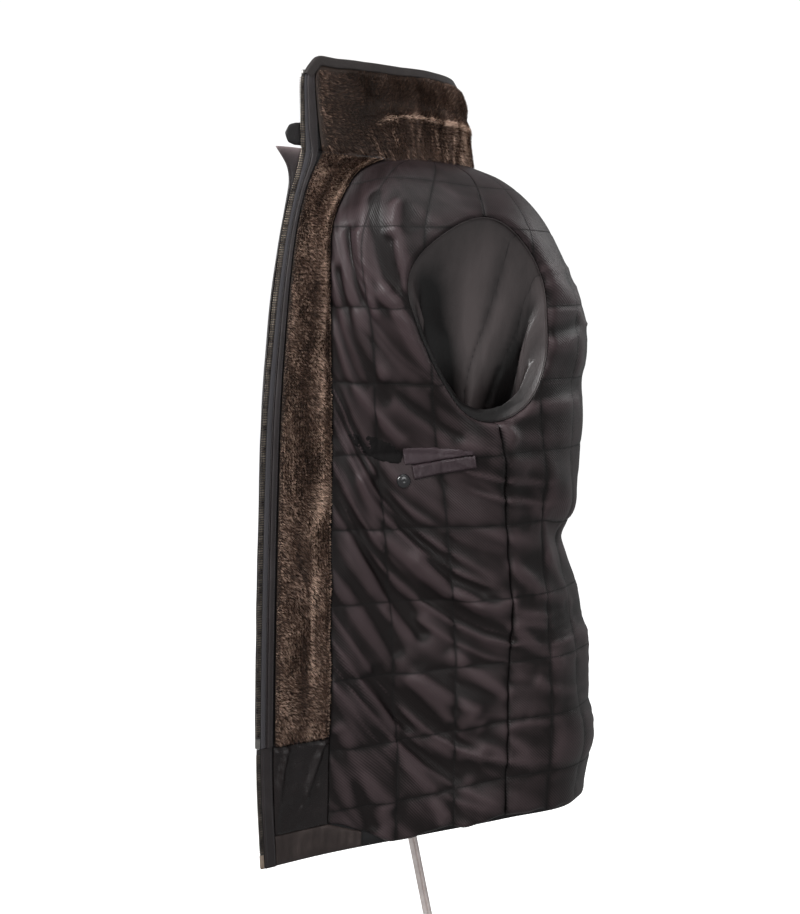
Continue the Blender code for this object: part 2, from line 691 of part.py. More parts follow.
def body_layers():
    """Leather shell and quilted lining: fronts and back.  Returns the walls' grids for what lies on them."""
    grids = {"leather": [], "lining": []}
    lined = FRONT_COLUMNS[FRONT_COLUMNS.index(FACING_SEAM):]
    panels = (("front_right", FRONT_COLUMNS, lined, SIDES[:1]), ("back", BACK_COLUMNS, BACK_COLUMNS, SIDES),
              ("front_left", mirrored(FRONT_COLUMNS), mirrored(lined), SIDES[1:]))
    cutters = {side: armhole_cutter(side) for _, side in SIDES}
    for label, shell_columns, lining_columns, sides in panels:
        u, w = grid(shell_columns, coat_rows(shell_columns))
        outer, inner = layer(coat_surface, u, w, 0.0, -LEATHER)
        grids["leather"].append(inner)
        shell = slab("shell_" + label, outer, inner, "leather", GAP / 2)
        u, w = grid(lining_columns, coat_rows(lining_columns)[1:])
        outer, inner = layer(coat_surface, u, w, GAP + LINING_STITCHED + quilt_rise(u, w), LINING_FLOOR)
        grids["lining"].append(outer)
        lining = slab("lining_" + label, outer, inner, "quilted_lining", GAP / 2)
        for _, side in sides:
            cut(shell, cutters[side])
            cut(lining, cutters[side])
    return grids


def sleeves(lining_tree, leather_tree):
    """A lining tube inside a leather tube on each side."""
    for name, side in SIDES:
        common = (side, lining_tree, leather_tree)
        outer = sleeve_rings(*common, LINING_MOUTH_GAP, 0.0, True)
        inner = sleeve_rings(*common, LINING_MOUTH_GAP, -SLEEVE_LINING, True)
        tube_wall("sleeve_lining_" + name, outer, inner, "sleeve_satin")
        outer = sleeve_rings(*common, LEATHER_MOUTH_GAP, GAP + SLEEVE_LEATHER, False)
        inner = sleeve_rings(*common, LEATHER_MOUTH_GAP, GAP, False)
        tube_wall("sleeve_leather_" + name, outer, inner, "leather")


def facings():
    """Fur facings, the lower leather facings and the hem bands, on both fronts."""
    for name, side in SIDES:
        columns = (FACING_START, FACING_MIDDLE, FACING_SEAM)
        columns = columns if side > 0 else mirrored(columns)
        rows = [w for w in SHELL_ROWS if FUR_BOTTOM <= w]
        u, w = grid(columns, rows)
        middle = columns[1] == u
        height = np.where(middle, FUR_PILE, PILE_AT_SEAM * FUR_PILE)
        outer, inner = layer(coat_surface, u, w, GAP + height, 2 * GAP)
        slab("facing_fur_" + name, outer, inner, "fur", FUR_SIDE_GAP, GAP / 2)
        rows = [w for w in SHELL_ROWS if HEM_BAND_TOP <= w <= FUR_BOTTOM]
        u, w = grid(columns, rows)
        outer, inner = layer(coat_surface, u, w, GAP + LEATHER, GAP)
        slab("facing_leather_" + name, outer, inner, "leather", GAP, GAP / 2)
        columns = (FACING_START, FACING_MIDDLE, FACING_SEAM, HEM_BAND_END)
        columns = columns if side > 0 else mirrored(columns)
        u, w = grid(columns, coat_rows(columns)[:2])
        outer, inner = layer(coat_surface, u, w, GAP + LEATHER, GAP)
        slab("hem_band_" + name, outer, inner, "leather", GAP, GAP)


def edge_frames(side, levels, collar_heights=()):
    """Rows of a front edge, from below up: its point, the way in across the cloth, and the way out."""
    edge, inward = (EDGE, FACING_START) if side > 0 else (LAP - EDGE, LAP - FACING_START)
    point, within, out = np.empty((0, 3)), np.empty((0, 3)), np.empty((0, 3))
    for surface, heights in ((coat_surface, levels), (collar_surface, collar_heights)):
        heights = np.array(heights, float)
        if len(heights):
            edges, inwards = np.full(len(heights), edge), np.full(len(heights), inward)
            point = np.vstack([point, surface(edges, heights)])
            within = np.vstack([within, surface(inwards, heights)])
            out = np.vstack([out, normals_of(surface, (edges + inwards) / 2, heights)])
    across = within - point
    room = np.linalg.norm(across, axis=1, keepdims=True)
    across /= room
    narrowing = np.minimum(1.0, room / (BAND_END + GAP))
    out -= across * np.sum(out * across, axis=1, keepdims=True)
    out /= np.linalg.norm(out, axis=1, keepdims=True)
    return point, across * narrowing, out, side


def edge_strip(name, frames, start, end, low, high, finish, shorten=0.0):
    """A strip along a front edge: `start` to `end` across the cloth and `low` to `high` above it."""
    point, across, out, side = frames
    point = point.copy()
    for row, other in ((0, 1), (-1, -2)):
        run = point[other] - point[row]
        point[row] += run / np.linalg.norm(run) * shorten
    grids = [np.stack([point + across * a + out * n for a in (start, end)[::side]], axis=1)
             for n in (high, low)]
    return slab(name, grids[0], grids[1], finish)


def front_edges():
    """Leather bands, zip tapes and zip chains along both front edges, and the metal at their ends."""
    above = [w for w in SHELL_ROWS if w >= FUR_BOTTOM]
    below = [w for w in SHELL_ROWS if w <= FUR_BOTTOM]
    pin_top, main_pin_top = FUR_BOTTOM + PIN_LENGTH, HEM_LEVEL + MAIN_PIN_LENGTH
    stop_foot = 1.0 - STOP_LENGTH / COLLAR_EDGE_LENGTH
    for name, side in SIDES:
        upper = edge_frames(side, above, COLLAR_ROWS[1:])
        edge_strip("front_band_" + name, upper, BAND_START, BAND_END, 3 * GAP, BAND_HEIGHT, "leather", GAP)
        edge_strip("zip_tape_" + name, upper, TAPE_START, TAPE_END, 3 * GAP, TAPE_HEIGHT, "leather", GAP)
        lower = edge_frames(side, below)
        edge_strip("main_band_" + name, lower, TAPE_START, BAND_END, 2 * GAP, MAIN_BAND_HEIGHT, "leather", GAP)
        teeth = (CHAIN_OUT, CHAIN_IN, -CHAIN_HALF, CHAIN_HALF)
        upper = edge_frames(side, [pin_top + GAP] + above[1:], COLLAR_ROWS[1:-1] + (stop_foot - STOP_ROOM,))
        edge_strip("zip_chain_" + name, upper, *teeth, "zip_metal")
        lower = edge_frames(side, [main_pin_top + GAP] + below[2:-1] + [FUR_BOTTOM - MAIN_ZIP_HEADROOM])
        edge_strip("main_zip_" + name, lower, *teeth, "zip_metal")
        metal = (CHAIN_OUT - 0.0004, CHAIN_IN, -CHAIN_HALF - 0.0002, CHAIN_HALF + 0.0004)
        edge_strip("zip_stop_" + name, edge_frames(side, (), (stop_foot, 1.0)), *metal, "bright_metal")
        edge_strip("zip_pin_" + name, edge_frames(side, (FUR_BOTTOM, pin_top)), *metal, "bright_metal")
        edge_strip("main_pin_" + name, edge_frames(side, (HEM_LEVEL + GAP, main_pin_top)), *metal, "bright_metal")


def collar():
    """Leather side, fur side and binding of the standing collar."""
    columns = FRONT_COLUMNS[:-1] + BACK_COLUMNS + mirrored(FRONT_COLUMNS)[1:]
    u, v = grid(columns, COLLAR_ROWS)
    outer, inner = layer(collar_surface, u, v, 0.0, -LEATHER)
    slab("collar_leather", outer, inner, "leather", GAP / 2)
    fur_columns = columns[1:-1]
    rows = COLLAR_ROWS[1:-1]
    u, v = grid(fur_columns, rows)
    rise = np.repeat(np.array(COLLAR_RISE)[:, None], len(fur_columns), axis=1)
    outer, inner = layer(collar_surface, u, v, GAP + COLLAR_PILE * rise, GAP)
    slab("collar_fur", outer, inner, "fur", FUR_SIDE_GAP)
    u, v = grid(fur_columns, (rows[-1] + BINDING_ROOM, 1.0))
    outer, inner = layer(collar_surface, u, v, GAP + BINDING_HEIGHT, GAP)
    slab("collar_binding", outer, inner, "leather", GAP)


def storm_flap():
    """A leather strip behind the right zip, whose free edge shows past the teeth and curls out at the top."""
    levels = [w for w in SHELL_ROWS if w >= FUR_BOTTOM]
    reach = np.interp(levels, [row.level for row in FLAP_ROWS], [row.reach for row in FLAP_ROWS])
    curl = np.interp(levels, [row.level for row in FLAP_ROWS], [row.curl for row in FLAP_ROWS])
    u = np.stack([-reach, -0.4 * reach, 0 * reach], axis=1) / METRES_ON_FACING
    u = np.hstack([u, np.tile([FACING_START, FLAP_HIDDEN_U], (len(levels), 1))])
    w = np.repeat(np.array(levels)[:, None], u.shape[1], axis=1)
    lift = np.stack([curl] + [0 * curl] * (u.shape[1] - 1), axis=1)
    top = lift - LEATHER - GAP
    outer, inner = layer(coat_surface, u, w, top, top - FLAP_THICKNESS)
    slab("storm_flap", outer, inner, "leather")


def throat_tab():
    """A rounded leather tab behind the front edge of the collar."""
    u = np.array([[row[0] for row in TAB_OUTLINE]] * 3)
    low, high = (np.array([row[k] for row in TAB_OUTLINE]) for k in (1, 2))
    v = np.stack([low, (low + high) / 2, high])
    outer, inner = layer(collar_surface, u, v, -LEATHER - GAP, -LEATHER - GAP - TAB_THICKNESS)
    slab("throat_tab", outer, inner, "leather")


def seat_x(tree, y, z, reach):
    """The outermost place of the right wall within `reach` of (y, z)."""
    steps = np.linspace(-reach, reach, 5)
    return max(wall_x(tree, 1, y + dy, z + dz) for dy in steps for dz in steps)


def inner_pocket(lining_tree):
    """The pocket's welt and its snap button, laid on the right front's lining."""
    along = np.linspace(0, 1, WELT_COLUMNS)
    tops = np.outer(1 - along, POCKET_FRONT) + np.outer(along, POCKET_BACK)
    run = np.subtract(POCKET_BACK, POCKET_FRONT)
    down = np.array([run[1], -run[0]]) / np.linalg.norm(run)
    rows = np.stack([tops + down * (WELT_DEPTH * share) for share in (1.0, 0.5, 0.0)])
    reach = np.linalg.norm(run) / WELT_COLUMNS / 2
    seat = np.array([[seat_x(lining_tree, y, z, reach) for y, z in row] for row in rows]) + GAP
    outer = np.dstack([seat + WELT_THICKNESS, rows])
    slab("pocket_welt", outer, np.dstack([seat, rows]), "quilted_lining")
    y, z = SNAP_PLACE
    x = seat_x(lining_tree, y, z, SNAP_RADIUS) + GAP
    profile = [(SNAP_RADIUS * math.sin(a), SNAP_HEIGHT * (0.35 + 0.65 * math.cos(a)))
               for a in np.linspace(0, math.pi / 2, 5)] + [(SNAP_RADIUS, 0.0), (0.0, 0.0)]
    snap = turned("pocket_snap", profile, 14, "snap_black")
    snap.rotation_euler = (0.0, math.radians(90), 0.0)
    snap.location = (x, y, z)


# ---------------------------------------------------------------------------------------------------------
# The stand
# ---------------------------------------------------------------------------------------------------------
def turned(name, profile, steps, finish):
    """A turned piece: a profile of (radius, height) from the top down its outer side, with a Screw modifier."""
    mesh = bpy.data.meshes.new(name)
    mesh.from_pydata([(r, 0.0, h) for r, h in profile], [(i, i + 1) for i in range(len(profile) - 1)], [])
    obj = add_object(name, mesh, finish)
    screw = obj.modifiers.new("turn", "SCREW")
    screw.axis = "Z"
    screw.steps = screw.render_steps = steps
    screw.use_merge_vertices = True
    screw.merge_threshold = 0.00005
    screw.use_smooth_shade = True
    return obj


def pole_points():
    """The pole's line: upright in its socket, leaning forward to the knee, then back up to the yoke."""
    bend = np.array([0.0, POLE_FOOT_Y, POLE_BEND_LEVEL])
    rise = POLE_KNEE_LEVEL - POLE_BEND_LEVEL
    knee = bend + np.array([0.0, -POLE_LEAN * rise, rise])
    return np.array([0.0, POLE_FOOT_Y, BASE_THICKNESS + GAP]), bend, knee


def rounded_path(corners, cutback, steps):
    """Corner points joined by short curves that start `cutback` before each inner corner."""
    points = [corners[0]]
    for before, corner, after in zip(corners[:-2], corners[1:-1], corners[2:]):
        a = corner + (before - corner) / np.linalg.norm(before - corner) * cutback
        b = corner + (after - corner) / np.linalg.norm(after - corner) * cutback
        for t in np.linspace(0, 1, steps):
            points.append((1 - t)**2 * a + 2 * t * (1 - t) * corner + t**2 * b)
    points.append(corners[-1])
    return points


def yoke_section(x, leather_tree):
    """The yoke's cross-section at x, just under the shoulder leather, or level across the neck."""
    over = np.sign(x or 1.0) * max(abs(x), NECK_HALF_WIDTH)
    hits = [leather_tree.ray_cast(Vector((over, YOKE_MIDDLE_Y + dy, YOKE_SIGHT_LEVEL)), Vector((0, 0, 1)))[0]
            for dy in np.linspace(-YOKE_HALF_DEPTH, YOKE_HALF_DEPTH, 5)]
    top = min(hit.z for hit in hits if hit)
    turns = np.arange(10) * 2 * math.pi / 10 + math.pi / 10
    y = YOKE_MIDDLE_Y + YOKE_HALF_DEPTH * np.cos(turns)
    z = top - YOKE_HEIGHT / 2 + YOKE_HEIGHT / 2 * np.sin(turns)
    return np.column_stack([np.full(len(turns), x), y, z])


def seated_yoke(leather_tree):
    """The yoke's sections from end to end, raised together until their tops meet the shoulder leather."""
    stations = np.linspace(-YOKE_REACH, YOKE_REACH, 13)
    sections = np.array([yoke_section(x, leather_tree) for x in stations])
    shares = np.linspace(0, 1, 6)[:, None, None]
    between = np.concatenate([a + (b - a) * shares for a, b in zip(sections[:-1], sections[1:])])
    drop = YOKE_HEIGHT
    rooms = []
    for point in between.reshape(-1, 3):
        hit = leather_tree.ray_cast(Vector(point) - Vector((0, 0, drop)), Vector((0, 0, 1)))[0]
        if hit:
            rooms.append(hit.z - point[2])
    sections[..., 2] += min(rooms) - GAP
    return sections


def stand(leather_tree):
    """Base plate, socket, cranked pole and the smooth yoke that carries the shoulders."""
    bpy.ops.mesh.primitive_cylinder_add(vertices=36, radius=BASE_RADIUS, depth=BASE_THICKNESS,
                                        location=(0, 0, BASE_THICKNESS / 2))
    base = bpy.context.object
    base.name = base.data.name = "stand_base"
    for collection in list(base.users_collection):
        collection.objects.unlink(base)
    bpy.data.collections[COAT].objects.link(base)
    base.data.materials.append(finish_material("stand_steel"))
    bevel = base.modifiers.new("edge", "BEVEL")
    bevel.width, bevel.segments, bevel.limit_method = BASE_EDGE, 1, "ANGLE"
    bore = POLE_RADIUS + GAP
    profile = [(bore, SOCKET_PROFILE[0][1])] + list(SOCKET_PROFILE) + [(bore, 0.0), (bore, SOCKET_PROFILE[0][1])]
    socket = turned("stand_socket", profile, 16, "stand_steel")
    socket.location = (0.0, POLE_FOOT_Y, BASE_THICKNESS + GAP)

    sections = seated_yoke(leather_tree)
    stations, sides = sections.shape[:2]
    faces = [tuple(range(sides)), tuple(range(stations * sides - 1, (stations - 1) * sides - 1, -1))]
    for j in range(stations - 1):
        for i in range(sides):
            a, b = j * sides + i, j * sides + (i + 1) % sides
            faces.append((a, b, b + sides, a + sides))
    add_object("stand_yoke", mesh_from("stand_yoke", sections.reshape(-1, 3), faces), "stand_aluminium")

    middle = sections[stations // 2]
    top = np.array([0.0, YOKE_MIDDLE_Y, middle[:, 2].min() - 2 * GAP])
    route = rounded_path([*pole_points(), top], 0.020, 5)
    curve = bpy.data.curves.new("stand_pole", "CURVE")
    curve.dimensions = "3D"
    curve.bevel_depth, curve.bevel_resolution, curve.use_fill_caps = POLE_RADIUS, 3, True
    spline = curve.splines.new("POLY")
    spline.points.add(len(route) - 1)
    for point, place in zip(spline.points, route):
        point.co = (*place, 1.0)
    pole = bpy.data.objects.new("stand_pole", curve)
    curve.materials.append(finish_material("stand_aluminium"))
    bpy.data.collections[COAT].objects.link(pole)


def main():
    clear_scene()
    grids = body_layers()
    lining_tree = wall_tree(grids["lining"])
    leather_tree = wall_tree(grids["leather"])
    sleeves(lining_tree, leather_tree)
    facings()
    front_edges()
    collar()
    storm_flap()
    throat_tab()
    inner_pocket(lining_tree)
    stand(leather_tree)


if __name__ == "__main__":
    main()
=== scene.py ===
"""Looks of a leather jacket that stands, turned inside out, on a slender stand.

Metres, +Z up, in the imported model's own frame.  The front faces -Y and the coat's right half lies at +X.  All
cloth is worked out from one coat form with two parameters: `u` runs round the body through numbered seams (0 the
right front edge, 1 the facing seam, 4 the side seam, 7 the centre back, 14 the left front edge) and `w` runs up
it in metres and on over the shoulder to the neck seam.
"""

from __future__ import annotations

import logging
import math
from dataclasses import dataclass
from enum import Enum
from typing import Callable, NamedTuple, Optional, Sequence

import bmesh
import bpy
import numpy as np
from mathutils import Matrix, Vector

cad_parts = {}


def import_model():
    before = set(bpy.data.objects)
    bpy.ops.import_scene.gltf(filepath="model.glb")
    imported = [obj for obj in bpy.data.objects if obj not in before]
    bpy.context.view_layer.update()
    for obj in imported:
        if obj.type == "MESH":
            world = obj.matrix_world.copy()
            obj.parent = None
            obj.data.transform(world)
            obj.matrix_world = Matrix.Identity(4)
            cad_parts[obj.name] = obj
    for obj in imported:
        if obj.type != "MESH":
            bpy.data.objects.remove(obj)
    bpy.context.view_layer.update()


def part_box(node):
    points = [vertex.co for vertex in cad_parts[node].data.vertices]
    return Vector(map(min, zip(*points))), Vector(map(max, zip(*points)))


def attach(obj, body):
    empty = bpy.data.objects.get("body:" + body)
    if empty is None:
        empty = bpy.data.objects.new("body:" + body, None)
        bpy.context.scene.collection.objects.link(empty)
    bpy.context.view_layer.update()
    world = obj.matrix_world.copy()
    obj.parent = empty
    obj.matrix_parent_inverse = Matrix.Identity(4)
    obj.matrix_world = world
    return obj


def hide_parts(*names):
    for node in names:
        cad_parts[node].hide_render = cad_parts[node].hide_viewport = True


log = logging.getLogger("jacket")

Array = np.ndarray
Surface = Callable[[Array, Array], Array]

SEED = 3638

# ----- Sizes of the coat form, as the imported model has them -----
GAP = 0.0003
LEATHER = 0.0018
LINING_STITCHED = 0.0020
LINING_FLOOR = 0.0005
FUR_PILE = 0.0090
COLLAR_PILE = 0.0100
SLEEVE_LEATHER = 0.0015
SLEEVE_LINING = 0.0012

HEM_LEVEL, HEM_BAND_TOP, FUR_BOTTOM, NECK_LEVEL = 0.300, 0.336, 0.440, 1.165
LINING_LIP = 0.003
TAPE_START, TAPE_END = 0.0006, 0.0080
BAND_START, BAND_END = 0.0083, 0.0155
BAND_HEIGHT, TAPE_HEIGHT, MAIN_BAND_HEIGHT = 0.0040, 0.0016, 0.0024
CHAIN_OUT, CHAIN_IN, CHAIN_HALF = -0.0056, -0.0003, 0.0013

EDGE, FACING_SEAM, QUILT_SEAM, SIDE_SEAM, BACK_QUILT, CENTRE_BACK = 0.0, 1.0, 2.0, 4.0, 6.0, 7.0
LAP = 2.0 * CENTRE_BACK
FACING_START = 0.178
METRES_PER_U, METRES_ON_FACING = 0.075, 0.088
FACING_WIDTH = 0.072       # a mean up the front
QUILT_ROWS = (.350, .423, .507, .595, .683, .770, .855, .942, 1.030, 1.098, NECK_LEVEL)


class Section(NamedTuple):
    """One level of the right half: (x, y) at each seam, and how far the side and back ride up there."""

    level: float
    lift: float
    edge: tuple
    facing: tuple
    quilt: tuple
    side: tuple
    back_quilt: tuple
    back: tuple


SECTIONS = (
    Section(0.300, 0.020, (.164, -.205), (.129, -.124), (.109, -.037), (.114, .100), (.072, .205), (.000, .242)),
    Section(0.400, 0.022, (.164, -.209), (.129, -.122), (.109, -.037), (.115, .103), (.076, .208), (.000, .248)),
    Section(0.500, 0.008, (.163, -.208), (.130, -.121), (.112, -.040), (.115, .105), (.072, .202), (.002, .241)),
    Section(0.585, 0.000, (.162, -.206), (.130, -.120), (.116, -.045), (.119, .105), (.068, .196), (.006, .231)),
    Section(0.655, 0.000, (.161, -.204), (.130, -.119), (.122, -.052), (.126, .098), (.064, .181), (.010, .203)),
    Section(0.740, 0.000, (.159, -.201), (.131, -.118), (.130, -.060), (.135, .088), (.074, .193), (.008, .226)),
    Section(0.820, 0.000, (.157, -.197), (.132, -.117), (.140, -.066), (.147, .070), (.080, .198), (.006, .235)),
    Section(0.900, 0.000, (.153, -.189), (.135, -.118), (.155, -.074), (.164, .060), (.084, .196), (.004, .235)),
    Section(0.970, 0.000, (.148, -.180), (.137, -.118), (.163, -.082), (.181, .054), (.084, .184), (.002, .215)),
    Section(1.030, 0.000, (.140, -.169), (.134, -.114), (.163, -.082), (.188, .050), (.084, .163), (.000, .184)),
)
LIFT_SHARE = (0.0, 0.0, 0.15, 1.0, 1.1, 1.0)


class SeamRow(NamedTuple):
    """One row of a table: where it lies, and its values at each seam of the right half."""

    at: float
    edge: tuple
    facing: tuple
    quilt: tuple
    side: tuple
    back_quilt: tuple
    back: tuple


# Over the shoulder, from the chest to the neck seam, at rows of w: (x, y, z) at each seam.
YOKE_SECTIONS = (
    SeamRow(1.075, (.137, -.160, 1.068), (.129, -.103, 1.064), (.155, -.066, 1.070), (.172, .049, 1.062),
            (.092, .134, 1.064), (.000, .154, 1.068)),
    SeamRow(1.120, (.133, -.152, 1.094), (.119, -.082, 1.094), (.134, -.042, 1.098), (.134, .048, 1.090),
            (.078, .104, 1.090), (.000, .117, 1.094)),
    SeamRow(1.165, (.130, -.146, 1.118), (.100, -.046, 1.112), (.094, -.012, 1.112), (.086, .040, 1.109),
            (.046, .074, 1.108), (.000, .082, 1.110)),
)

# How far the left half departs from the mirrored right half, at rows of w: (outwards, backwards) at each seam.
LEFT_SHIFTS = (
    SeamRow(0.300, (-.064, .068), (.016, .060), (.050, .048), (.023, .033), (.010, .006), (0, 0)),
    SeamRow(0.970, (-.063, .066), (-.012, .056), (.002, .043), (.008, .017), (.003, .004), (0, 0)),
    SeamRow(1.165, (-.052, .058), (.010, .022), (0, .014), (0, 0), (0, 0), (0, 0)),
)

# The right half of the collar, at shares of its height over the neck seam: (x, y, z) at each seam.
COLLAR_SECTIONS = (
    SeamRow(0.45, (.130, -.147, 1.164), (.108, -.070, 1.170), (.092, -.020, 1.172), (.072, .036, 1.168),
            (.036, .070, 1.162), (.000, .080, 1.160)),
    SeamRow(0.75, (.130, -.147, 1.198), (.110, -.080, 1.204), (.094, -.028, 1.203), (.070, .032, 1.197),
            (.035, .066, 1.190), (.000, .076, 1.188)),
    SeamRow(1.00, (.127, -.142, 1.223), (.108, -.085, 1.228), (.090, -.035, 1.226), (.060, .028, 1.219),
            (.028, .056, 1.212), (.000, .064, 1.210)),
)


class Fold(NamedTuple):
    """A soft ridge (height > 0) or trough through places (u, w); width is one spread, in metres."""

    path: tuple
    height: float
    width: float


LARGE_FOLDS = (
    Fold(((2.0, 1.045), (2.4, .95), (3.0, .865)), 0.007, 0.024),
    Fold(((1.6, 1.00), (2.2, .90), (3.1, .80)), -0.006, 0.020),
    Fold(((1.2, 1.02), (2.0, .87), (3.9, .765)), 0.008, 0.022),
    Fold(((1.2, .92), (1.9, .82), (3.4, .73)), -0.005, 0.020),
    Fold(((3.6, .78), (5.0, .73), (6.2, .69)), 0.007, 0.024),
    Fold(((4.6, .72), (5.8, .665), (6.8, .655)), -0.010, 0.022),
    Fold(((5.6, .86), (6.2, .84), (6.9, .85)), -0.004, 0.018),
    Fold(((1.2, .62), (2.1, .54), (3.1, .45)), 0.005, 0.022),
    Fold(((1.1, .52), (1.6, .42), (2.2, .34)), 0.005, 0.020),
    Fold(((2.4, .62), (3.2, .56), (3.8, .47)), -0.004, 0.022),
    Fold(((4.2, .50), (5.2, .42), (6.2, .38)), 0.004, 0.024),
    Fold(((1.3, .80), (1.8, .775), (2.4, .765)), -0.006, 0.016),
)

# Creases too fine for the imported solids, listed one by one; the left half has the same ones, weaker.
CREASES = (
    Fold(((1.03, .732), (1.50, .682), (1.98, .613), (2.48, .554)), -0.0042, 0.0065),
    Fold(((1.60, .739), (1.95, .680), (2.58, .635), (3.40, .594)), 0.0034, 0.0075),
    Fold(((2.00, .739), (2.45, .680), (2.98, .621), (3.43, .603)), -0.0034, 0.0065),
    Fold(((0.95, .659), (1.62, .596), (2.05, .538)), -0.0034, 0.0070),
    Fold(((2.20, .592), (2.53, .564), (2.85, .533)), -0.0028, 0.0070),
    Fold(((2.48, 1.013), (2.58, .964), (2.98, .895), (3.15, .869)), -0.0042, 0.0060),
    Fold(((2.43, .958), (3.05, .879), (3.50, .830), (4.20, .791)), 0.0052, 0.0080),
    Fold(((2.27, .852), (2.68, .828), (3.30, .793)), -0.0036, 0.0065),
    Fold(((5.00, .978), (5.20, .956), (5.00, .921)), -0.0055, 0.0090),
    Fold(((5.55, .964), (6.15, .936), (6.15, .862)), 0.0040, 0.0110),
    Fold(((5.15, .909), (5.50, .911), (6.20, .921)), -0.0034, 0.0060),
    Fold(((5.12, .901), (5.43, .895), (5.98, .905)), 0.0028, 0.0060),
    Fold(((4.78, .836), (5.33, .838), (6.23, .846)), -0.0032, 0.0065),
    Fold(((4.33, .814), (4.95, .826), (6.23, .824)), 0.0030, 0.0065),
    Fold(((1.07, .446), (1.40, .393), (1.88, .349)), 0.0036, 0.0075),
    Fold(((1.05, .438), (1.30, .399), (1.65, .324)), -0.0038, 0.0070),
    Fold(((1.95, .420), (2.50, .361), (2.83, .320)), 0.0032, 0.0070),
    Fold(((1.70, .507), (2.27, .420), (3.05, .361)), -0.0032, 0.0080),
    Fold(((0.98, .503), (1.62, .456), (1.95, .438)), 0.0030, 0.0080),
    Fold(((2.30, .501), (2.90, .444), (3.43, .424)), 0.0030, 0.0075),
    Fold(((2.27, .426), (3.05, .391), (3.45, .387)), 0.0026, 0.0070),
    Fold(((2.55, .647), (2.95, .607), (3.50, .588), (3.95, .590)), 0.0034, 0.0085),
    Fold(((2.48, .568), (3.20, .503), (3.93, .462)), 0.0030, 0.0080),
    Fold(((2.43, .501), (2.83, .473), (3.30, .446)), 0.0026, 0.0065),
    Fold(((3.12, .420), (3.53, .397), (3.95, .377)), 0.0024, 0.0065),
    Fold(((4.08, .631), (4.75, .599), (5.65, .580)), 0.0032, 0.0085),
    Fold(((5.23, .635), (5.80, .599), (6.10, .570)), 0.0030, 0.0080),
    Fold(((4.03, .556), (4.70, .517), (5.35, .501)), 0.0026, 0.0070),
    Fold(((4.67, .475), (5.12, .458), (5.83, .446)), 0.0024, 0.0065),
    Fold(((1.58, 1.023), (1.68, .992), (1.88, .950)), -0.0026, 0.0045),
    Fold(((1.93, 1.023), (2.02, .984), (2.15, .938)), 0.0028, 0.0050),
    Fold(((1.98, 1.066), (2.30, 1.015), (2.48, .962)), -0.0038, 0.0060),
    Fold(((2.45, 1.055), (2.60, 1.005), (2.68, .966)), 0.0034, 0.0060),
    Fold(((1.30, .980), (1.62, .917), (2.20, .838)), -0.0030, 0.0060),
    Fold(((1.05, .915), (1.48, .858), (2.43, .789)), 0.0028, 0.0065),
)


# Fullness of the wadding across the back, where the photograph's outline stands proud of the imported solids.
BACK_FILL = (
    Fold(((5.2, .640), (7.0, .636)), 0.0050, 0.014),
    Fold(((5.3, .955), (7.0, .935)), 0.0075, 0.030),
    Fold(((5.2, .695), (7.0, .674)), 0.0125, 0.027),
    Fold(((5.3, .557), (7.0, .557)), -0.0030, 0.016),
    Fold(((5.3, .502), (7.0, .502)), 0.0065, 0.022),
    Fold(((5.3, .378), (7.0, .372)), 0.0065, 0.022),
)


class PaintedLightPlace(NamedTuple):
    """A broad place of painted light (height > 0) or painted shade on the lining's colour, a bell curve of its sizes in
    u and w.
    """

    u: float
    w: float
    wide: float
    tall: float
    height: float


PAINTED_LIGHT_PLACES = (
    PaintedLightPlace(1.70, 1.000, 0.55, 0.070, 0.52),
    PaintedLightPlace(2.60, 0.930, 0.45, 0.050, 0.24),
    PaintedLightPlace(1.20, 0.850, 0.40, 0.080, -0.20),
    PaintedLightPlace(3.60, 1.090, 1.60, 0.030, -0.10),
    PaintedLightPlace(5.20, 0.880, 1.10, 0.090, 0.16),
    PaintedLightPlace(5.20, 1.020, 1.20, 0.050, 0.22),
    PaintedLightPlace(1.20, 0.640, 0.70, 0.140, -0.10),
    PaintedLightPlace(2.40, 0.420, 1.60, 0.120, -0.08),
    PaintedLightPlace(3.40, 0.740, 0.50, 0.060, 0.10),
    PaintedLightPlace(5.00, 0.700, 1.20, 0.100, 0.06),
)

# Armhole, seen from the side: radius from its middle every 30 degrees, from the back round over the top.
ARMHOLE_MIDDLE = (0.055, 0.925)
ARMHOLE_RADII = (.091, .096, .104, .118, .113, .107, .084, .077, .088, .116, .120, .104)
LEFT_ARMHOLE_SHIFT = 0.017


class SleeveRing(NamedTuple):
    """A ring of the sleeve: its turn from upright, its outer lowest point, and its size when flattened.

    `drawn_in` is how much further in its back edge lies, since the coat narrows there.
    """

    turn: float
    x: float
    y: float
    z: float
    half_width: float
    height: float
    roundness: float
    drawn_in: float


SLEEVE_RINGS = (
    SleeveRing(3, .135, .054, .799, .087, .150, 0.5, .026),
    SleeveRing(12, .129, .055, .780, .085, .106, 1.0, .022),
    SleeveRing(38, .119, .057, .750, .084, .064, 1.0, .014),
    SleeveRing(72, .108, .059, .712, .082, .060, 1.0, .005),
    SleeveRing(90, .099, .060, .665, .081, .058, 1.0, .0),
    SleeveRing(90, .093, .060, .600, .077, .056, 1.0, .0),
    SleeveRing(90, .089, .060, .490, .071, .054, 1.0, .0),
    SleeveRing(90, .087, .060, .365, .062, .050, 1.0, .0),
)
EGG_HALF_SIZE = (0.093, 0.122)
SLEEVE_MOUTH_DEPTH = 0.008


class FlapRow(NamedTuple):
    """The storm flap's free edge at one level: how far past the front edge it stands, and how far it curls out."""

    level: float
    reach: float
    curl: float


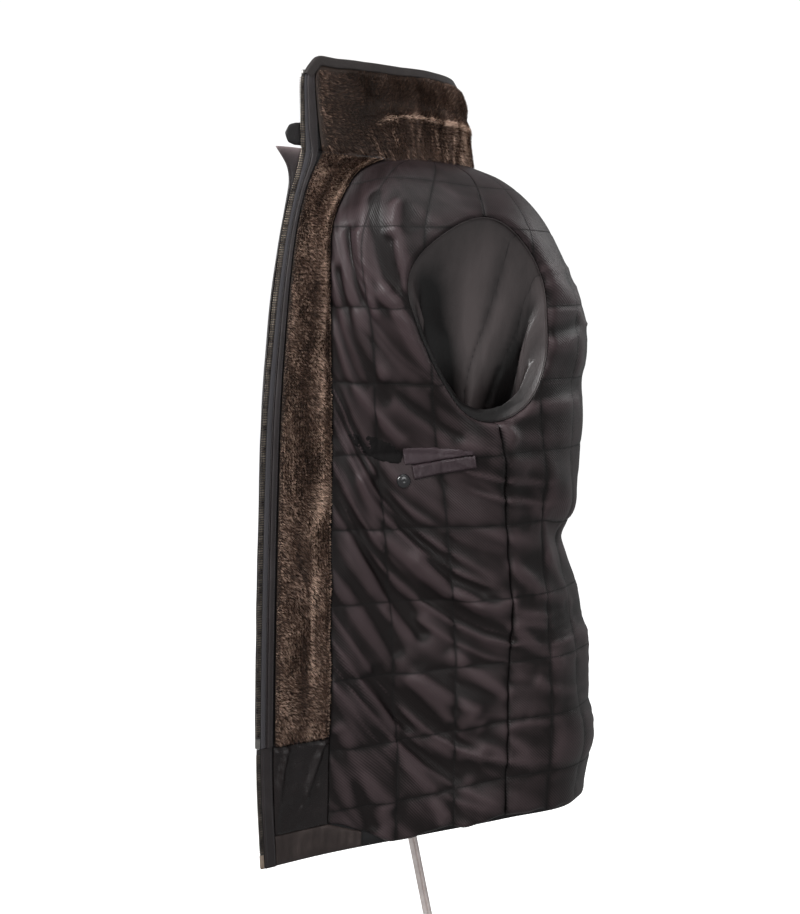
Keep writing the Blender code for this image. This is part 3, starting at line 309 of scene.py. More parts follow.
FLAP_ROWS = (
    FlapRow(FUR_BOTTOM, 0.0040, 0.0), FlapRow(0.60, 0.0045, 0.0), FlapRow(0.80, 0.0055, 0.0),
    FlapRow(0.88, 0.0072, 0.0), FlapRow(0.95, 0.0098, 0.0), FlapRow(1.05, 0.0110, 0.0),
    FlapRow(1.10, 0.0135, 0.0), FlapRow(1.13, 0.0200, 0.0008), FlapRow(NECK_LEVEL, 0.0345, 0.0025),
)
FLAP_THICKNESS, FLAP_HIDDEN_U = 0.0022, 0.59
TAB_OUTLINE = ((-.24, .14, .24), (-.20, .08, .29), (-.11, .05, .31), (.35, .05, .31))
TAB_THICKNESS = 0.0035

POCKET_FRONT, POCKET_BACK = (-.0225, .7570), (.047, .7700)
SNAP_PLACE, SNAP_RADIUS, SNAP_HEIGHT = (-.0325, .7395), 0.0082, 0.0042


class Side(Enum):
    """The coat's own right half lies at +X, its left half at -X."""

    RIGHT = 1
    LEFT = -1

    @property
    def label(self) -> str:
        """The word that ends the names of this half's pieces."""
        return self.name.lower()


# ----- Surface maths -----
def smooth_through(knots: Sequence[float], values: Array, t: Array) -> Array:
    """Cubic curves through values at knots, each tangent the mean of its two slopes weighted by the spans.

    Args:
        knots: Rising knot places.
        values: (knots, ...) for one curve, or (points, knots, 3) for a curve of its own at each t.
        t: Places to read; past either end the curve runs on straight.

    Returns:
        The curve's value at each t.
    """
    knots, values, t = np.asarray(knots, float), np.asarray(values, float), np.asarray(t, float)
    own = values.ndim == 3 and values.shape[0] == len(t) and values.shape[1] == len(knots)
    table = np.swapaxes(values, 0, 1) if own else values
    spans = np.diff(knots)
    column = (-1,) + (1,) * (table.ndim - 1)
    slopes = np.diff(table, axis=0) / spans.reshape(column)
    tangents = np.empty_like(table)
    tangents[0], tangents[-1] = slopes[0], slopes[-1]
    share = (spans[:-1] / (spans[:-1] + spans[1:])).reshape(column)
    tangents[1:-1] = slopes[:-1] * (1 - share) + slopes[1:] * share
    inside = np.clip(t, knots[0], knots[-1])
    i = np.clip(np.searchsorted(knots, t, side="right") - 1, 0, len(spans) - 1)
    end = np.where(t < knots[0], 0, len(knots) - 1)
    pick = (lambda rows, k: rows[k, np.arange(len(t))]) if own else (lambda rows, k: rows[k])
    shape = (-1,) + (1,) * (pick(table, i).ndim - 1)
    span, q, beyond = (part.reshape(shape) for part in (spans[i], (inside - knots[i]) / spans[i], t - inside))
    return ((2 * q**3 - 3 * q**2 + 1) * pick(table, i) + (q**3 - 2 * q**2 + q) * span * pick(tangents, i)
            + (-2 * q**3 + 3 * q**2) * pick(table, i + 1) + (q**3 - q**2) * span * pick(tangents, i + 1)
            + beyond * pick(tangents, end))


def unit(vectors: Array) -> Array:
    """Vectors scaled to length one."""
    return vectors / np.maximum(np.linalg.norm(vectors, axis=-1, keepdims=True), 1e-12)


def slope_normals(surface: Surface, u: Array, w: Array) -> Array:
    """Unit normals of a surface, outwards: the cross product of its slopes along u and along w."""
    du, dw = 0.02, 0.002
    along = surface(u + du, w) - surface(u - du, w)
    up = surface(u, w + dw) - surface(u, w - dw)
    return unit(np.cross(along, up))


def grid_normals(points: Array, wrap: bool = False) -> Array:
    """Unit normals of a grid of points: the cross product of its differences along columns and rows.

    Args:
        points: (rows, columns, 3).
        wrap: Whether the last column joins the first.

    Returns:
        Unit normals, (rows, columns, 3).
    """
    if wrap:
        along = np.roll(points, -1, axis=1) - np.roll(points, 1, axis=1)
    else:
        along = np.gradient(points, axis=1)
    return unit(np.cross(along, np.gradient(points, axis=0)))


def spread(columns: Array, rows: Array) -> tuple[Array, Array]:
    """Column and row values as two (rows, columns) arrays."""
    return np.meshgrid(np.asarray(columns, float), np.asarray(rows, float))


def steps(start: float, end: float, size: float) -> Array:
    """Evenly spaced values from start to end, about `size` apart."""
    return np.linspace(start, end, max(2, int(round(abs(end - start) / size)) + 1))


class SmoothNoise:
    """Soft random heights from -1 to 1: a seeded lattice of values, blended by a smooth step between them."""

    def __init__(self, seed: int, side: int = 64) -> None:
        """Draws the lattice; the noise repeats every `side` cells."""
        self.side = side
        self.lattice = np.random.default_rng(SEED + seed).uniform(-1, 1, (side, side))

    def __call__(self, x: Array, y: Array) -> Array:
        """Reads the noise at x, y, in lattice cells."""
        x, y = np.broadcast_arrays(np.asarray(x, float), np.asarray(y, float))
        i, j = np.floor(x).astype(int), np.floor(y).astype(int)
        p, q = x - i, y - j
        p, q = p * p * (3 - 2 * p), q * q * (3 - 2 * q)
        a, b = i % self.side, (i + 1) % self.side
        c, d = j % self.side, (j + 1) % self.side
        return ((self.lattice[a, c] * (1 - p) + self.lattice[b, c] * p) * (1 - q)
                + (self.lattice[a, d] * (1 - p) + self.lattice[b, d] * p) * q)


class SampledSurface:
    """A surface's points and normals kept on a fine grid and read in straight lines between its nodes."""

    def __init__(self, surface: Surface, normals: Surface, u_span: tuple[float, float],
                 v_span: tuple[float, float], columns: int, rows: int) -> None:
        """Works the surface out at rows x columns places over its spans."""
        self.u_span, self.v_span, self.shape = u_span, v_span, (rows, columns)
        u, v = spread(np.linspace(*u_span, columns), np.linspace(*v_span, rows))
        self.points, self.normals = surface(u, v), normals(u, v)

    def read(self, table: Array, u: Array, v: Array) -> Array:
        """Reads a (rows, columns, 3) table at (u, v)."""
        rows, columns = self.shape
        x = np.clip((u - self.u_span[0]) / (self.u_span[1] - self.u_span[0]), 0, 1) * (columns - 1)
        y = np.clip((v - self.v_span[0]) / (self.v_span[1] - self.v_span[0]), 0, 1) * (rows - 1)
        i, j = np.minimum(x.astype(int), columns - 2), np.minimum(y.astype(int), rows - 2)
        p, q = (x - i)[:, None], (y - j)[:, None]
        return ((table[j, i] * (1 - p) + table[j, i + 1] * p) * (1 - q)
                + (table[j + 1, i] * (1 - p) + table[j + 1, i + 1] * p) * q)

    def frame(self, u: Array, v: Array) -> tuple[Array, Array, Array, Array]:
        """Points, normals, ways along v and ways across, at (u, v)."""
        step = (self.v_span[1] - self.v_span[0]) / self.shape[0]
        point, normal = self.read(self.points, u, v), unit(self.read(self.normals, u, v))
        below = np.minimum(v, self.v_span[1] - step)
        up = unit(self.read(self.points, u, below + step) - self.read(self.points, u, below))
        return point, normal, up, unit(np.cross(up, normal))


class CoatForm:
    """The coat's own surface, its collar, and the relief that lies on them."""

    right_knots = np.array([EDGE, FACING_SEAM, QUILT_SEAM, SIDE_SEAM, BACK_QUILT, CENTRE_BACK])

    def __init__(self) -> None:
        """Lays the tables out as rows of points at the numbered seams, right half first."""
        self.knots = np.concatenate([self.right_knots, (LAP - self.right_knots[:-1])[::-1]])
        levels = [row[0] for row in SECTIONS + YOKE_SECTIONS]
        rows = [[(x, y, s.level + s.lift * share) for (x, y), share in zip(s[2:], LIFT_SHARE)] for s in SECTIONS]
        rows += [list(row[1:]) for row in YOKE_SECTIONS]
        self.levels = np.array(levels)
        self.rows = self.both_halves(np.array(rows), self.left_shift(self.levels))
        collar = np.array([list(row[1:]) for row in COLLAR_SECTIONS])
        at_neck = np.full(len(collar), NECK_LEVEL)
        self.collar_rows = self.both_halves(collar, self.left_shift(at_neck))

    @staticmethod
    def left_shift(levels: Array) -> Array:
        """Left shifts (row, seam, 2) at the given w values, read in straight lines between the table's rows."""
        knots = [entry.at for entry in LEFT_SHIFTS]
        table = np.array([entry[1:] for entry in LEFT_SHIFTS], float)
        flat = table.reshape(len(knots), -1)
        read = np.stack([np.interp(levels, knots, flat[:, k]) for k in range(flat.shape[1])], axis=1)
        return read.reshape(len(levels), *table.shape[1:])

    @staticmethod
    def both_halves(rows: Array, shift: Array) -> Array:
        """Adds the left half: the right half mirrored, then moved by the shift of its row."""
        left = rows[:, :-1][:, ::-1] * np.array([-1.0, 1.0, 1.0])
        shift = shift[:, :-1][:, ::-1]
        left[..., 0] -= shift[..., 0]
        left[..., 1] += shift[..., 1]
        return np.concatenate([rows, left], axis=1)

    @staticmethod
    def right_side(u: Array) -> Array:
        """u folded onto the right half, where the tables of folds and quilting are written."""
        return np.where(u > CENTRE_BACK, LAP - u, u)

    def bare(self, u: Array, w: Array) -> Array:
        """Points without folds: a cubic through the seams' points on every row, then a cubic up the rows."""
        u, w = np.broadcast_arrays(np.asarray(u, float), np.asarray(w, float))
        meridians = smooth_through(self.knots, np.swapaxes(self.rows, 0, 1), u.ravel())
        return smooth_through(self.levels, meridians, w.ravel()).reshape(*u.shape, 3)

    def fold_height(self, u: Array, w: Array, folds: Sequence[Fold]) -> Array:
        """Sum of folds: each is a bell curve of the distance to its path, and fades towards the path's ends."""
        side_u = self.right_side(u) * METRES_PER_U
        total = np.zeros(np.broadcast(u, w).shape)
        for fold in folds:
            path = [np.array([p[0] * METRES_PER_U, p[1]]) for p in fold.path]
            nearest = np.full(total.shape, 1e9)
            for a, b in zip(path[:-1], path[1:]):
                run = b - a
                t = np.clip(((side_u - a[0]) * run[0] + (w - a[1]) * run[1]) / run.dot(run), 0, 1)
                away = (side_u - a[0] - t * run[0])**2 + (w - a[1] - t * run[1])**2
                nearest = np.minimum(nearest, away)
            total += fold.height * np.exp(-nearest / (2 * fold.width**2))
        return total

    def points(self, u: Array, w: Array) -> Array:
        """Points of the coat's surface: bare points moved out along their normals by the large folds."""
        u, w = np.broadcast_arrays(np.asarray(u, float), np.asarray(w, float))
        height = self.fold_height(u, w, LARGE_FOLDS)[..., None]
        return self.bare(u, w) + height * slope_normals(self.bare, u, w)

    def normals(self, u: Array, w: Array) -> Array:
        """Unit normals of the folded surface."""
        return slope_normals(self.points, u, w)

    def neck_rim(self, u: Array) -> Array:
        """Height of the highest point of the layers' rims at the neck seam."""
        w = np.full(np.shape(u), NECK_LEVEL)
        base, normal = self.points(u, w), self.normals(u, w)
        outer = np.where(self.right_side(u) < FACING_SEAM, FUR_PILE, LINING_STITCHED + GAP) + GAP
        tips = [base[..., 2], (base + normal * outer[..., None])[..., 2], (base - normal * LEATHER)[..., 2]]
        return np.max(tips, axis=0)

    def collar(self, u: Array, v: Array) -> Array:
        """Points of the collar: cubics round its rows, then up from the neck seam (v 0) to the top (v 1)."""
        u, v = np.broadcast_arrays(np.asarray(u, float), np.asarray(v, float))
        heights = [0.0] + [section.at for section in COLLAR_SECTIONS]
        columns, back = np.unique(u.ravel(), return_inverse=True)
        foot = self.points(columns, np.full(columns.size, NECK_LEVEL))
        foot[:, 2] = self.neck_rim(columns) + GAP
        upper = smooth_through(self.knots, np.swapaxes(self.collar_rows, 0, 1), columns)
        meridians = np.concatenate([foot[:, None, :], upper], axis=1)[back]
        return smooth_through(heights, meridians, v.ravel()).reshape(*u.shape, 3)

    def collar_normals(self, u: Array, v: Array) -> Array:
        """Unit normals of the collar, outwards."""
        return slope_normals(self.collar, u, v)

    def cloth_length(self, u: Array, w: float) -> Array:
        """Length of cloth from the first u, measured along one row."""
        path = self.bare(u, np.full(len(u), w))
        return np.concatenate([[0.0], np.cumsum(np.linalg.norm(np.diff(path, axis=0), axis=1))])


class Quilting:
    """Relief of the quilted lining over its stitched-down thickness."""

    puff = 0.0022            # a square's rise
    shoulder = 0.0140        # how far from a line the wadding takes to rise
    cell_height = 0.086      # mean height of a square
    yoke_level = 1.027       # the seam over which the quilting lies nearly flat

    def __init__(self, form: CoatForm) -> None:
        """Keeps the form whose folds the lining shares."""
        self.form = form
        self.pucker, self.drape, self.creep, self.fine = (SmoothNoise(k) for k in (1, 2, 3, 4))

    def cell(self, w: Array) -> Array:
        """Row number of w among the quilt's level lines: whole numbers lie on the lines."""
        rows = np.array(QUILT_ROWS)
        below = (w - rows[0]) / self.cell_height
        return np.where(w < rows[0], below, np.interp(w, rows, np.arange(len(rows))))

    def line_distance(self, u: Array, w: Array) -> tuple[Array, Array]:
        """Distances in metres to the nearest upright and the nearest level quilt line."""
        side_u = self.form.right_side(u)
        across = np.abs(side_u - np.round(side_u)) * METRES_PER_U
        cell = self.cell(w)
        nearest = np.clip(np.round(cell), 0, len(QUILT_ROWS) - 1)
        return across, np.abs(cell - nearest) * self.cell_height

    def flow(self, u: Array, w: Array) -> tuple[Array, Array]:
        """Coordinates across and along the drag lines, which fall from the front edge towards the side seam.

        The first is w plus a term that grows steeply near the front and hardly at all on the back, so its level
        curves are the drag lines; the second is the cloth's own length round the body.
        """
        side_u = self.form.right_side(u)
        fall = np.interp(side_u, (0.0, 1.0, 1.5, 2.0, 2.5, 3.0, 3.5, 4.0, 5.0, 7.0),
                         (0.0, .125, .185, .235, .272, .300, .320, .332, .340, .335))
        return w + fall, side_u * METRES_PER_U + 0.6 * w

    def height(self, u: Array, w: Array) -> Array:
        """The whole relief: low squares, gathers at the lines, drag wrinkles and listed creases.

        A square rises as one minus a falling exponential of the distance to its lines.  Gathers are short noise
        along a line that leans with the drag and dies away from it.  Drag wrinkles are noise drawn out along the
        flow, sharpened to soft crests.
        """
        across, up = self.line_distance(u, w)
        left = np.where(u > CENTRE_BACK, 1.0, 0.0)
        side_u = self.form.right_side(u)
        line, level = np.round(side_u), np.round(self.cell(w))
        over, along = self.flow(u, w)
        full = np.clip((self.yoke_level + 0.03 - w) / 0.06, 0, 1)
        full = 0.22 + 0.78 * full * full * (3 - 2 * full)
        on_back = np.clip((side_u - 4.2) / 1.2, 0, 1)
        full = full * (1 - 0.55 * on_back)
        rise = self.puff * full * (1 - np.exp(-across / self.shoulder)) * (1 - np.exp(-up / self.shoulder))
        lean = w + (side_u - line) * METRES_PER_U * 0.9
        gathers = self.pucker(lean / 0.0080, line * 7.3 + left * 3.1)
        gathers += 0.6 * self.pucker(lean / 0.0043, line * 3.9 + 17)
        gathers *= 0.0013 * np.exp(-across / 0.011) * (0.75 + 0.55 * self.drape(w / 0.07, line * 3.7 + 11)) * full
        drawn = side_u * METRES_PER_U - w * 0.25
        tucks = self.pucker(drawn / 0.0105 + 31, level * 5.9 + left * 2.3) * np.exp(-up / 0.010) * 0.0007 * full
        wide = self.drape(over / 0.036 + 5 * left, along / 0.170)
        crest = 1 - np.abs(self.creep(over / 0.023 + 9 * left, along / 0.120))
        small = self.fine(over / 0.0105 + 3 * left, along / 0.050)
        sharp = 1 - np.abs(self.fine(over / 0.015 + 21, along / 0.075 + 7 * left))
        gate = np.clip(self.drape(over / 0.080 + 40, along / 0.110 + 5) * 1.6 + 0.45, 0, 1)
        wrinkles = 0.0024 * wide + gate * (0.0034 * (crest**3 - 0.3) + 0.0014 * (sharp**4 - 0.2)) + 0.0005 * small
        calm = 0.30 + 0.70 * np.clip((self.yoke_level + 0.01 - w) / 0.05, 0, 1)
        calm = 1.25 * calm * (1 - 0.60 * on_back)
        creases = self.form.fold_height(u, w, CREASES) * (1.7 - 0.5 * left - 1.1 * on_back)
        creases += self.form.fold_height(u, w, BACK_FILL)
        creases += 0.0030 * np.clip((side_u - 1.0) / 0.3, 0, 1) * (1 - on_back) * np.clip((1.06 - w) / 0.04, 0, 1)
        thread = -0.0007 * (np.exp(-(across / 0.0020)**2) + np.exp(-(up / 0.0020)**2)) * (0.4 + 0.6 * full)
        held = 0.78 + 0.22 * (1 - np.exp(-np.minimum(across, up) / 0.010))
        at_neck = np.clip((NECK_LEVEL - w) / 0.02, 0, 1)
        return (rise + gathers + tucks + thread + (wrinkles * calm + creases) * held) * at_neck


# ----- Mesh making -----
def link_mesh(name: str, points: Array, faces: list, smooth: bool = True) -> bpy.types.Object:
    """Makes a mesh object of points and faces of any length, and links it at the origin."""
    mesh = bpy.data.meshes.new(name)
    mesh.from_pydata(points, [], faces)
    mesh.update()
    if smooth:
        mesh.shade_smooth()
    obj = bpy.data.objects.new(name, mesh)
    bpy.context.scene.collection.objects.link(obj)
    return obj


def add_object(name: str, points: Array, faces: Array, smooth: bool = True) -> bpy.types.Object:
    """Makes a mesh object of the points that its faces use, and links it at the origin.

    Args:
        name: The piece's name.
        points: (n, 3) points.
        faces: (m, 3) or (m, 4) corner numbers; a quad whose last corner repeats its first is a triangle.
        smooth: Whether its faces are shaded smooth.

    Returns:
        The new object.
    """
    kept, flat = np.unique(faces.ravel(), return_inverse=True)
    return link_mesh(name, points[kept].astype(float), flat.reshape(faces.shape).tolist(), smooth)


def set_uv(obj: bpy.types.Object, layer: str, uv: Array, faces: Array) -> None:
    """Writes a UV map from values at points, numbered as they were before unused ones were dropped."""
    data = obj.data.uv_layers.new(name=layer).data
    data.foreach_set("uv", uv[faces.ravel()].astype(np.float32).ravel())


def set_value(obj: bpy.types.Object, name: str, values: Array, faces: Array) -> None:
    """Writes a number at each point as an attribute."""
    kept = np.unique(faces.ravel())
    obj.data.attributes.new(name, "FLOAT", "POINT").data.foreach_set("value", values[kept].astype(np.float32))


def wall_faces(rows: int, columns: int, keep: Optional[Array] = None, wrap: bool = False) -> Array:
    """Quads of a closed wall whose outer grid of points is followed by its inner grid.

    Args:
        rows: Rows of points.
        columns: Columns of points.
        keep: Which cells of the grid are kept, (rows - 1, cells); all when None.
        wrap: Whether the last column joins the first.

    Returns:
        Quads, (m, 4): the outer cells, the inner cells turned round, and a rim along every open side.
    """
    index = np.arange(rows * columns).reshape(rows, columns)
    ahead = np.roll(index, -1, axis=1) if wrap else index[:, 1:]
    here = index if wrap else index[:, :-1]
    a, b, c, d = here[:-1], ahead[:-1], ahead[1:], here[1:]
    keep = np.ones(a.shape, bool) if keep is None else keep
    count = rows * columns
    quads = [np.stack([a, b, c, d], -1)[keep], np.stack([a, d, c, b], -1)[keep] + count]
    none = np.zeros_like(keep[:, :1])
    level = np.zeros_like(keep[:1])
    before = np.roll(keep, 1, axis=1) if wrap else np.hstack([none, keep[:, :-1]])
    after = np.roll(keep, -1, axis=1) if wrap else np.hstack([keep[:, 1:], none])
    below, above = np.vstack([level, keep[:-1]]), np.vstack([keep[1:], level])
    for p, q, neighbour in ((a, b, below), (b, c, after), (c, d, above), (d, a, before)):
        rim = keep & ~neighbour
        quads.append(np.stack([q, p, p + count, q + count], -1)[rim])
    return np.concatenate(quads)


def make_wall(name: str, outer: Array, inner: Array, keep: Optional[Array] = None, wrap: bool = False,
              maps: Optional[dict[str, Array]] = None) -> bpy.types.Object:
    """A closed wall between two grids of points of one shape.

    Args:
        name: The piece's name.
        outer: (rows, columns, 3), the face that looks away from the inner one.
        inner: The other face's points.
        keep: Which cells are kept.
        wrap: Whether the last column joins the first.
        maps: UV maps by name, each (rows, columns, 2), the same on both faces.

    Returns:
        The new object, its faces pointing outwards.
    """
    rows, columns = outer.shape[:2]
    faces = wall_faces(rows, columns, keep, wrap)
    points = np.concatenate([outer.reshape(-1, 3), inner.reshape(-1, 3)])
    a, b, d = points[faces[:, 0]], points[faces[:, 1]], points[faces[:, 3]]
    cells = len(faces[faces.max(axis=1) < rows * columns])
    facing = np.cross(b - a, d - a)[:cells]
    away = (outer - inner).reshape(-1, 3)[faces[:cells, 0]]
    if np.sum(facing * away) < 0:
        faces = faces[:, ::-1]
    obj = add_object(name, points, faces)
    for layer, values in (maps or {}).items():
        flat = values.reshape(-1, 2)
        set_uv(obj, layer, np.concatenate([flat, flat]), faces)
    return obj


def profile_strip(name: str, points: Array, across: Array, out: Array, profile: Array,
                  maps: Optional[dict[str, Array]] = None) -> bpy.types.Object:
    """A closed profile carried along a path: each point is the path's, plus across and out by the profile's.

    Args:
        name: The piece's name.
        points: (n, 3) path.
        across: (n, 3) way across at each point.
        out: (n, 3) way out at each point.
        profile: (k, 2) closed outline, as (across, out) in metres, or (n, k, 2) for one of its own at each point.
        maps: UV maps by name, each (n, k, 2).

    Returns:
        The new object, closed at both ends by a fan round its middle.
    """
    rings = points[:, None] + across[:, None] * profile[..., :1] + out[:, None] * profile[..., 1:]
    count, sides = rings.shape[:2]
    index = np.arange(count * sides).reshape(count, sides)
    a, b = index[:-1], np.roll(index[:-1], -1, axis=1)
    c, d = np.roll(index[1:], -1, axis=1), index[1:]
    faces = np.stack([a, b, c, d], -1).reshape(-1, 4)
    ends = []
    for ring, middle, turn in ((index[0], count * sides, -1), (index[-1], count * sides + 1, 1)):
        following = np.roll(ring, -1)
        hub = np.full(sides, middle)
        pair = (ring, following) if turn > 0 else (following, ring)
        ends.append(np.stack([*pair, hub, hub], -1))
    body = rings.reshape(-1, 3)
    middles = np.stack([rings[0].mean(axis=0), rings[-1].mean(axis=0)])
    everything = np.concatenate([body, middles])
    quads = faces
    triangles = np.concatenate(ends)[:, :3]
    volume = np.einsum("ij,ij->i", everything[quads[:, 0]] - body.mean(0),
                       np.cross(everything[quads[:, 1]] - everything[quads[:, 0]],
                                everything[quads[:, 3]] - everything[quads[:, 0]])).sum()
    if volume < 0:
        quads, triangles = quads[:, ::-1], triangles[:, ::-1]
    obj = link_mesh(name, everything, quads.tolist() + triangles.tolist())
    obj.data.set_sharp_from_angle(angle=math.radians(50))
    for layer, values in (maps or {}).items():
        flat = values.reshape(-1, 2)
        flat = np.concatenate([flat, flat[:1], flat[-1:]])
        corners = np.concatenate([quads.ravel(), triangles.ravel()])
        obj.data.uv_layers.new(name=layer).data.foreach_set("uv", flat[corners].astype(np.float32).ravel())
    return obj


def rounded_profile(start: float, end: float, low: float, high: float, radius: float, arc: int = 4) -> Array:
    """A rectangle with round corners, (across, out) in metres: four arcs of equal radius joined by its sides."""
    radius = min(radius, abs(end - start) / 2.01, abs(high - low) / 2.01)
    turns = np.linspace(0, math.pi / 2, arc)
    corners = ((end - radius, high - radius, 0), (start + radius, high - radius, 1),
               (start + radius, low + radius, 2), (end - radius, low + radius, 3))
    arcs = [np.stack([x + radius * np.cos(turns + k * math.pi / 2), y + radius * np.sin(turns + k * math.pi / 2)], 1)
            for x, y, k in corners]
    return np.concatenate(arcs)


def repeated(name: str, shape: Array, faces: Array, places: Array, x: Array, y: Array, z: Array,
             smooth: bool = False) -> bpy.types.Object:
    """One mesh of many copies of a small shape: each copy's points are its place plus the shape along x, y and z.

    Args:
        name: The piece's name.
        shape: (k, 3) points of one copy.
        faces: (m, 4) quads of one copy.
        places: (n, 3) places of the copies.
        x: (n, 3) way of the shape's x at each copy.
        y: (n, 3) way of its y.
        z: (n, 3) way of its z.
        smooth: Whether its faces are shaded smooth.

    Returns:
        The joined object.
    """
    points = (places[:, None] + x[:, None] * shape[None, :, :1] + y[:, None] * shape[None, :, 1:2]
              + z[:, None] * shape[None, :, 2:])
    offsets = np.arange(len(places))[:, None, None] * len(shape)
    quads = (faces[None] + offsets).reshape(-1, faces.shape[1])
    handed = np.sum(np.cross(x, y) * z)
    if handed < 0:
        quads = quads[:, ::-1]
    return add_object(name, points.reshape(-1, 3), quads, smooth)


# ----- Shader maths -----
class Value:
    """A shader socket with Python's own operators: each adds one Math node."""

    def __init__(self, nodes: "Shader", socket: bpy.types.NodeSocket) -> None:
        """Wraps a socket of a shader being built."""
        self.nodes, self.socket = nodes, socket

    def maths(self, operation: str, *others: object) -> "Value":
        """A Math node on this value and others."""
        return self.nodes.add("ShaderNodeMath", {"operation": operation}, self, *others)

    def __add__(self, other: object) -> "Value":
        """Sum."""
        return self.maths("ADD", other)

    __radd__ = __add__

    def __sub__(self, other: object) -> "Value":
        """Difference."""
        return self.maths("SUBTRACT", other)

    def __rsub__(self, other: object) -> "Value":
        """Difference, the other way round."""
        return self.nodes.add("ShaderNodeMath", {"operation": "SUBTRACT"}, other, self)

    def __mul__(self, other: object) -> "Value":
        """Product."""
        return self.maths("MULTIPLY", other)

    __rmul__ = __mul__

    def __truediv__(self, other: object) -> "Value":
        """Quotient."""
        return self.maths("DIVIDE", other)

    def __rtruediv__(self, other: object) -> "Value":
        """Quotient, the other way round."""
        return self.nodes.add("ShaderNodeMath", {"operation": "DIVIDE"}, other, self)

    def __pow__(self, other: object) -> "Value":
        """Power."""
        return self.maths("POWER", other)

    def __lt__(self, other: object) -> "Value":
        """One where this is less than the other."""
        return self.maths("LESS_THAN", other)

    def __gt__(self, other: object) -> "Value":
        """One where this is more than the other."""
        return self.maths("GREATER_THAN", other)

    def __abs__(self) -> "Value":
        """Size without sign."""
        return self.maths("ABSOLUTE")

    def sine(self) -> "Value":
        """Sine."""
        return self.maths("SINE")

    def fraction(self) -> "Value":
        """What is left past the whole number below."""
        return self.maths("FRACT")

    def clamped(self) -> "Value":
        """The value held between 0 and 1."""
        return self.maths("MAXIMUM", 0.0).maths("MINIMUM", 1.0)

    def from_line(self) -> "Value":
        """Distance to the nearest whole number."""
        return abs((self + 0.5).fraction() - 0.5)


class Shader:
    """A material being built: one Principled shader and the nodes that feed it."""

    def __init__(self, name: str) -> None:
        """Makes the material and finds its shader."""
        self.material = bpy.data.materials.new(name)
        self.material.use_nodes = True
        self.tree = self.material.node_tree
        self.principled = self.tree.nodes["Principled BSDF"]

    def set(self, socket: bpy.types.NodeSocket, value: object) -> None:
        """Links a Value to a socket, or sets the socket's own value."""
        if isinstance(value, Value):
            self.tree.links.new(value.socket, socket)
        elif value is not None:
            if hasattr(socket.default_value, "__len__") and len(socket.default_value) == 4 and len(value) == 3:
                value = (*value, 1.0)
            socket.default_value = value

    def add(self, kind: str, settings: Optional[dict] = None, *inputs: object, output: int = 0,
            **named: object) -> Value:
        """Adds a node: its settings first, then its sockets in order, then its sockets by name."""
        node = self.tree.nodes.new(kind)
        for key, value in (settings or {}).items():
            if key == "stops":
                self.ramp(node, value)
            else:
                setattr(node, key, value)
        for socket, value in zip(node.inputs, inputs):
            self.set(socket, value)
        for key, value in named.items():
            self.set(node.inputs[key.replace("_", " ")], value)
        return Value(self, node.outputs[output])

    @staticmethod
    def ramp(node: bpy.types.Node, stops: Sequence[tuple[float, tuple]]) -> None:
        """Sets a colour ramp's stops."""
        elements = node.color_ramp.elements
        while len(elements) < len(stops):
            elements.new(0.5)
        for element, (place, colour) in zip(elements, stops):
            element.position, element.color = place, (*colour, 1.0)

    def place(self) -> Value:
        """Object coordinates."""
        return self.add("ShaderNodeTexCoord", output=3)

    def uv(self, layer: str) -> tuple[Value, Value]:
        """The two numbers of a UV map."""
        parts = self.add("ShaderNodeSeparateXYZ", None, self.add("ShaderNodeUVMap", {"uv_map": layer}))
        return parts, Value(self, parts.socket.node.outputs[1])

    def attribute(self, name: str) -> Value:
        """A number that the mesh keeps at each point."""
        return self.add("ShaderNodeAttribute", {"attribute_name": name}, output=2)

    def noise(self, scale: float, detail: float = 3.0, roughness: float = 0.55,
              vector: Optional[Value] = None) -> Value:
        """Noise from 0 to 1, `scale` cells a metre."""
        return self.add("ShaderNodeTexNoise", None, Vector=vector or self.place(), Scale=scale, Detail=detail,
                        Roughness=roughness)

    def cells(self, scale: float, feature: str = "F1", vector: Optional[Value] = None) -> Value:
        """Distance in a field of cells, `scale` cells a metre."""
        return self.add("ShaderNodeTexVoronoi", {"feature": feature}, Vector=vector or self.place(), Scale=scale)

    def stretched(self, x: float, y: float, z: float) -> Value:
        """Object coordinates scaled by a number each way."""
        return self.add("ShaderNodeMapping", None, Vector=self.place(), Scale=(x, y, z))

    def mix(self, share: object, first: object, second: object) -> Value:
        """Two colours mixed: none of the second at share 0, only the second at 1."""
        node = self.tree.nodes.new("ShaderNodeMix")
        node.data_type = "RGBA"
        for socket, value in zip((node.inputs[0], node.inputs[6], node.inputs[7]), (share, first, second)):
            self.set(socket, value)
        return Value(self, node.outputs[2])

    def bump(self, height: Value, distance: float, strength: float = 1.0, under: Optional[Value] = None) -> Value:
        """A normal tilted by a height whose unit is `distance` metres."""
        return self.add("ShaderNodeBump", None, Height=height, Distance=distance, Strength=strength, Normal=under)

    def finish(self, **sockets: object) -> bpy.types.Material:
        """Feeds the Principled shader's sockets by name."""
        for key, value in sockets.items():
            self.set(self.principled.inputs[key.replace("_", " ")], value)
        return self.material


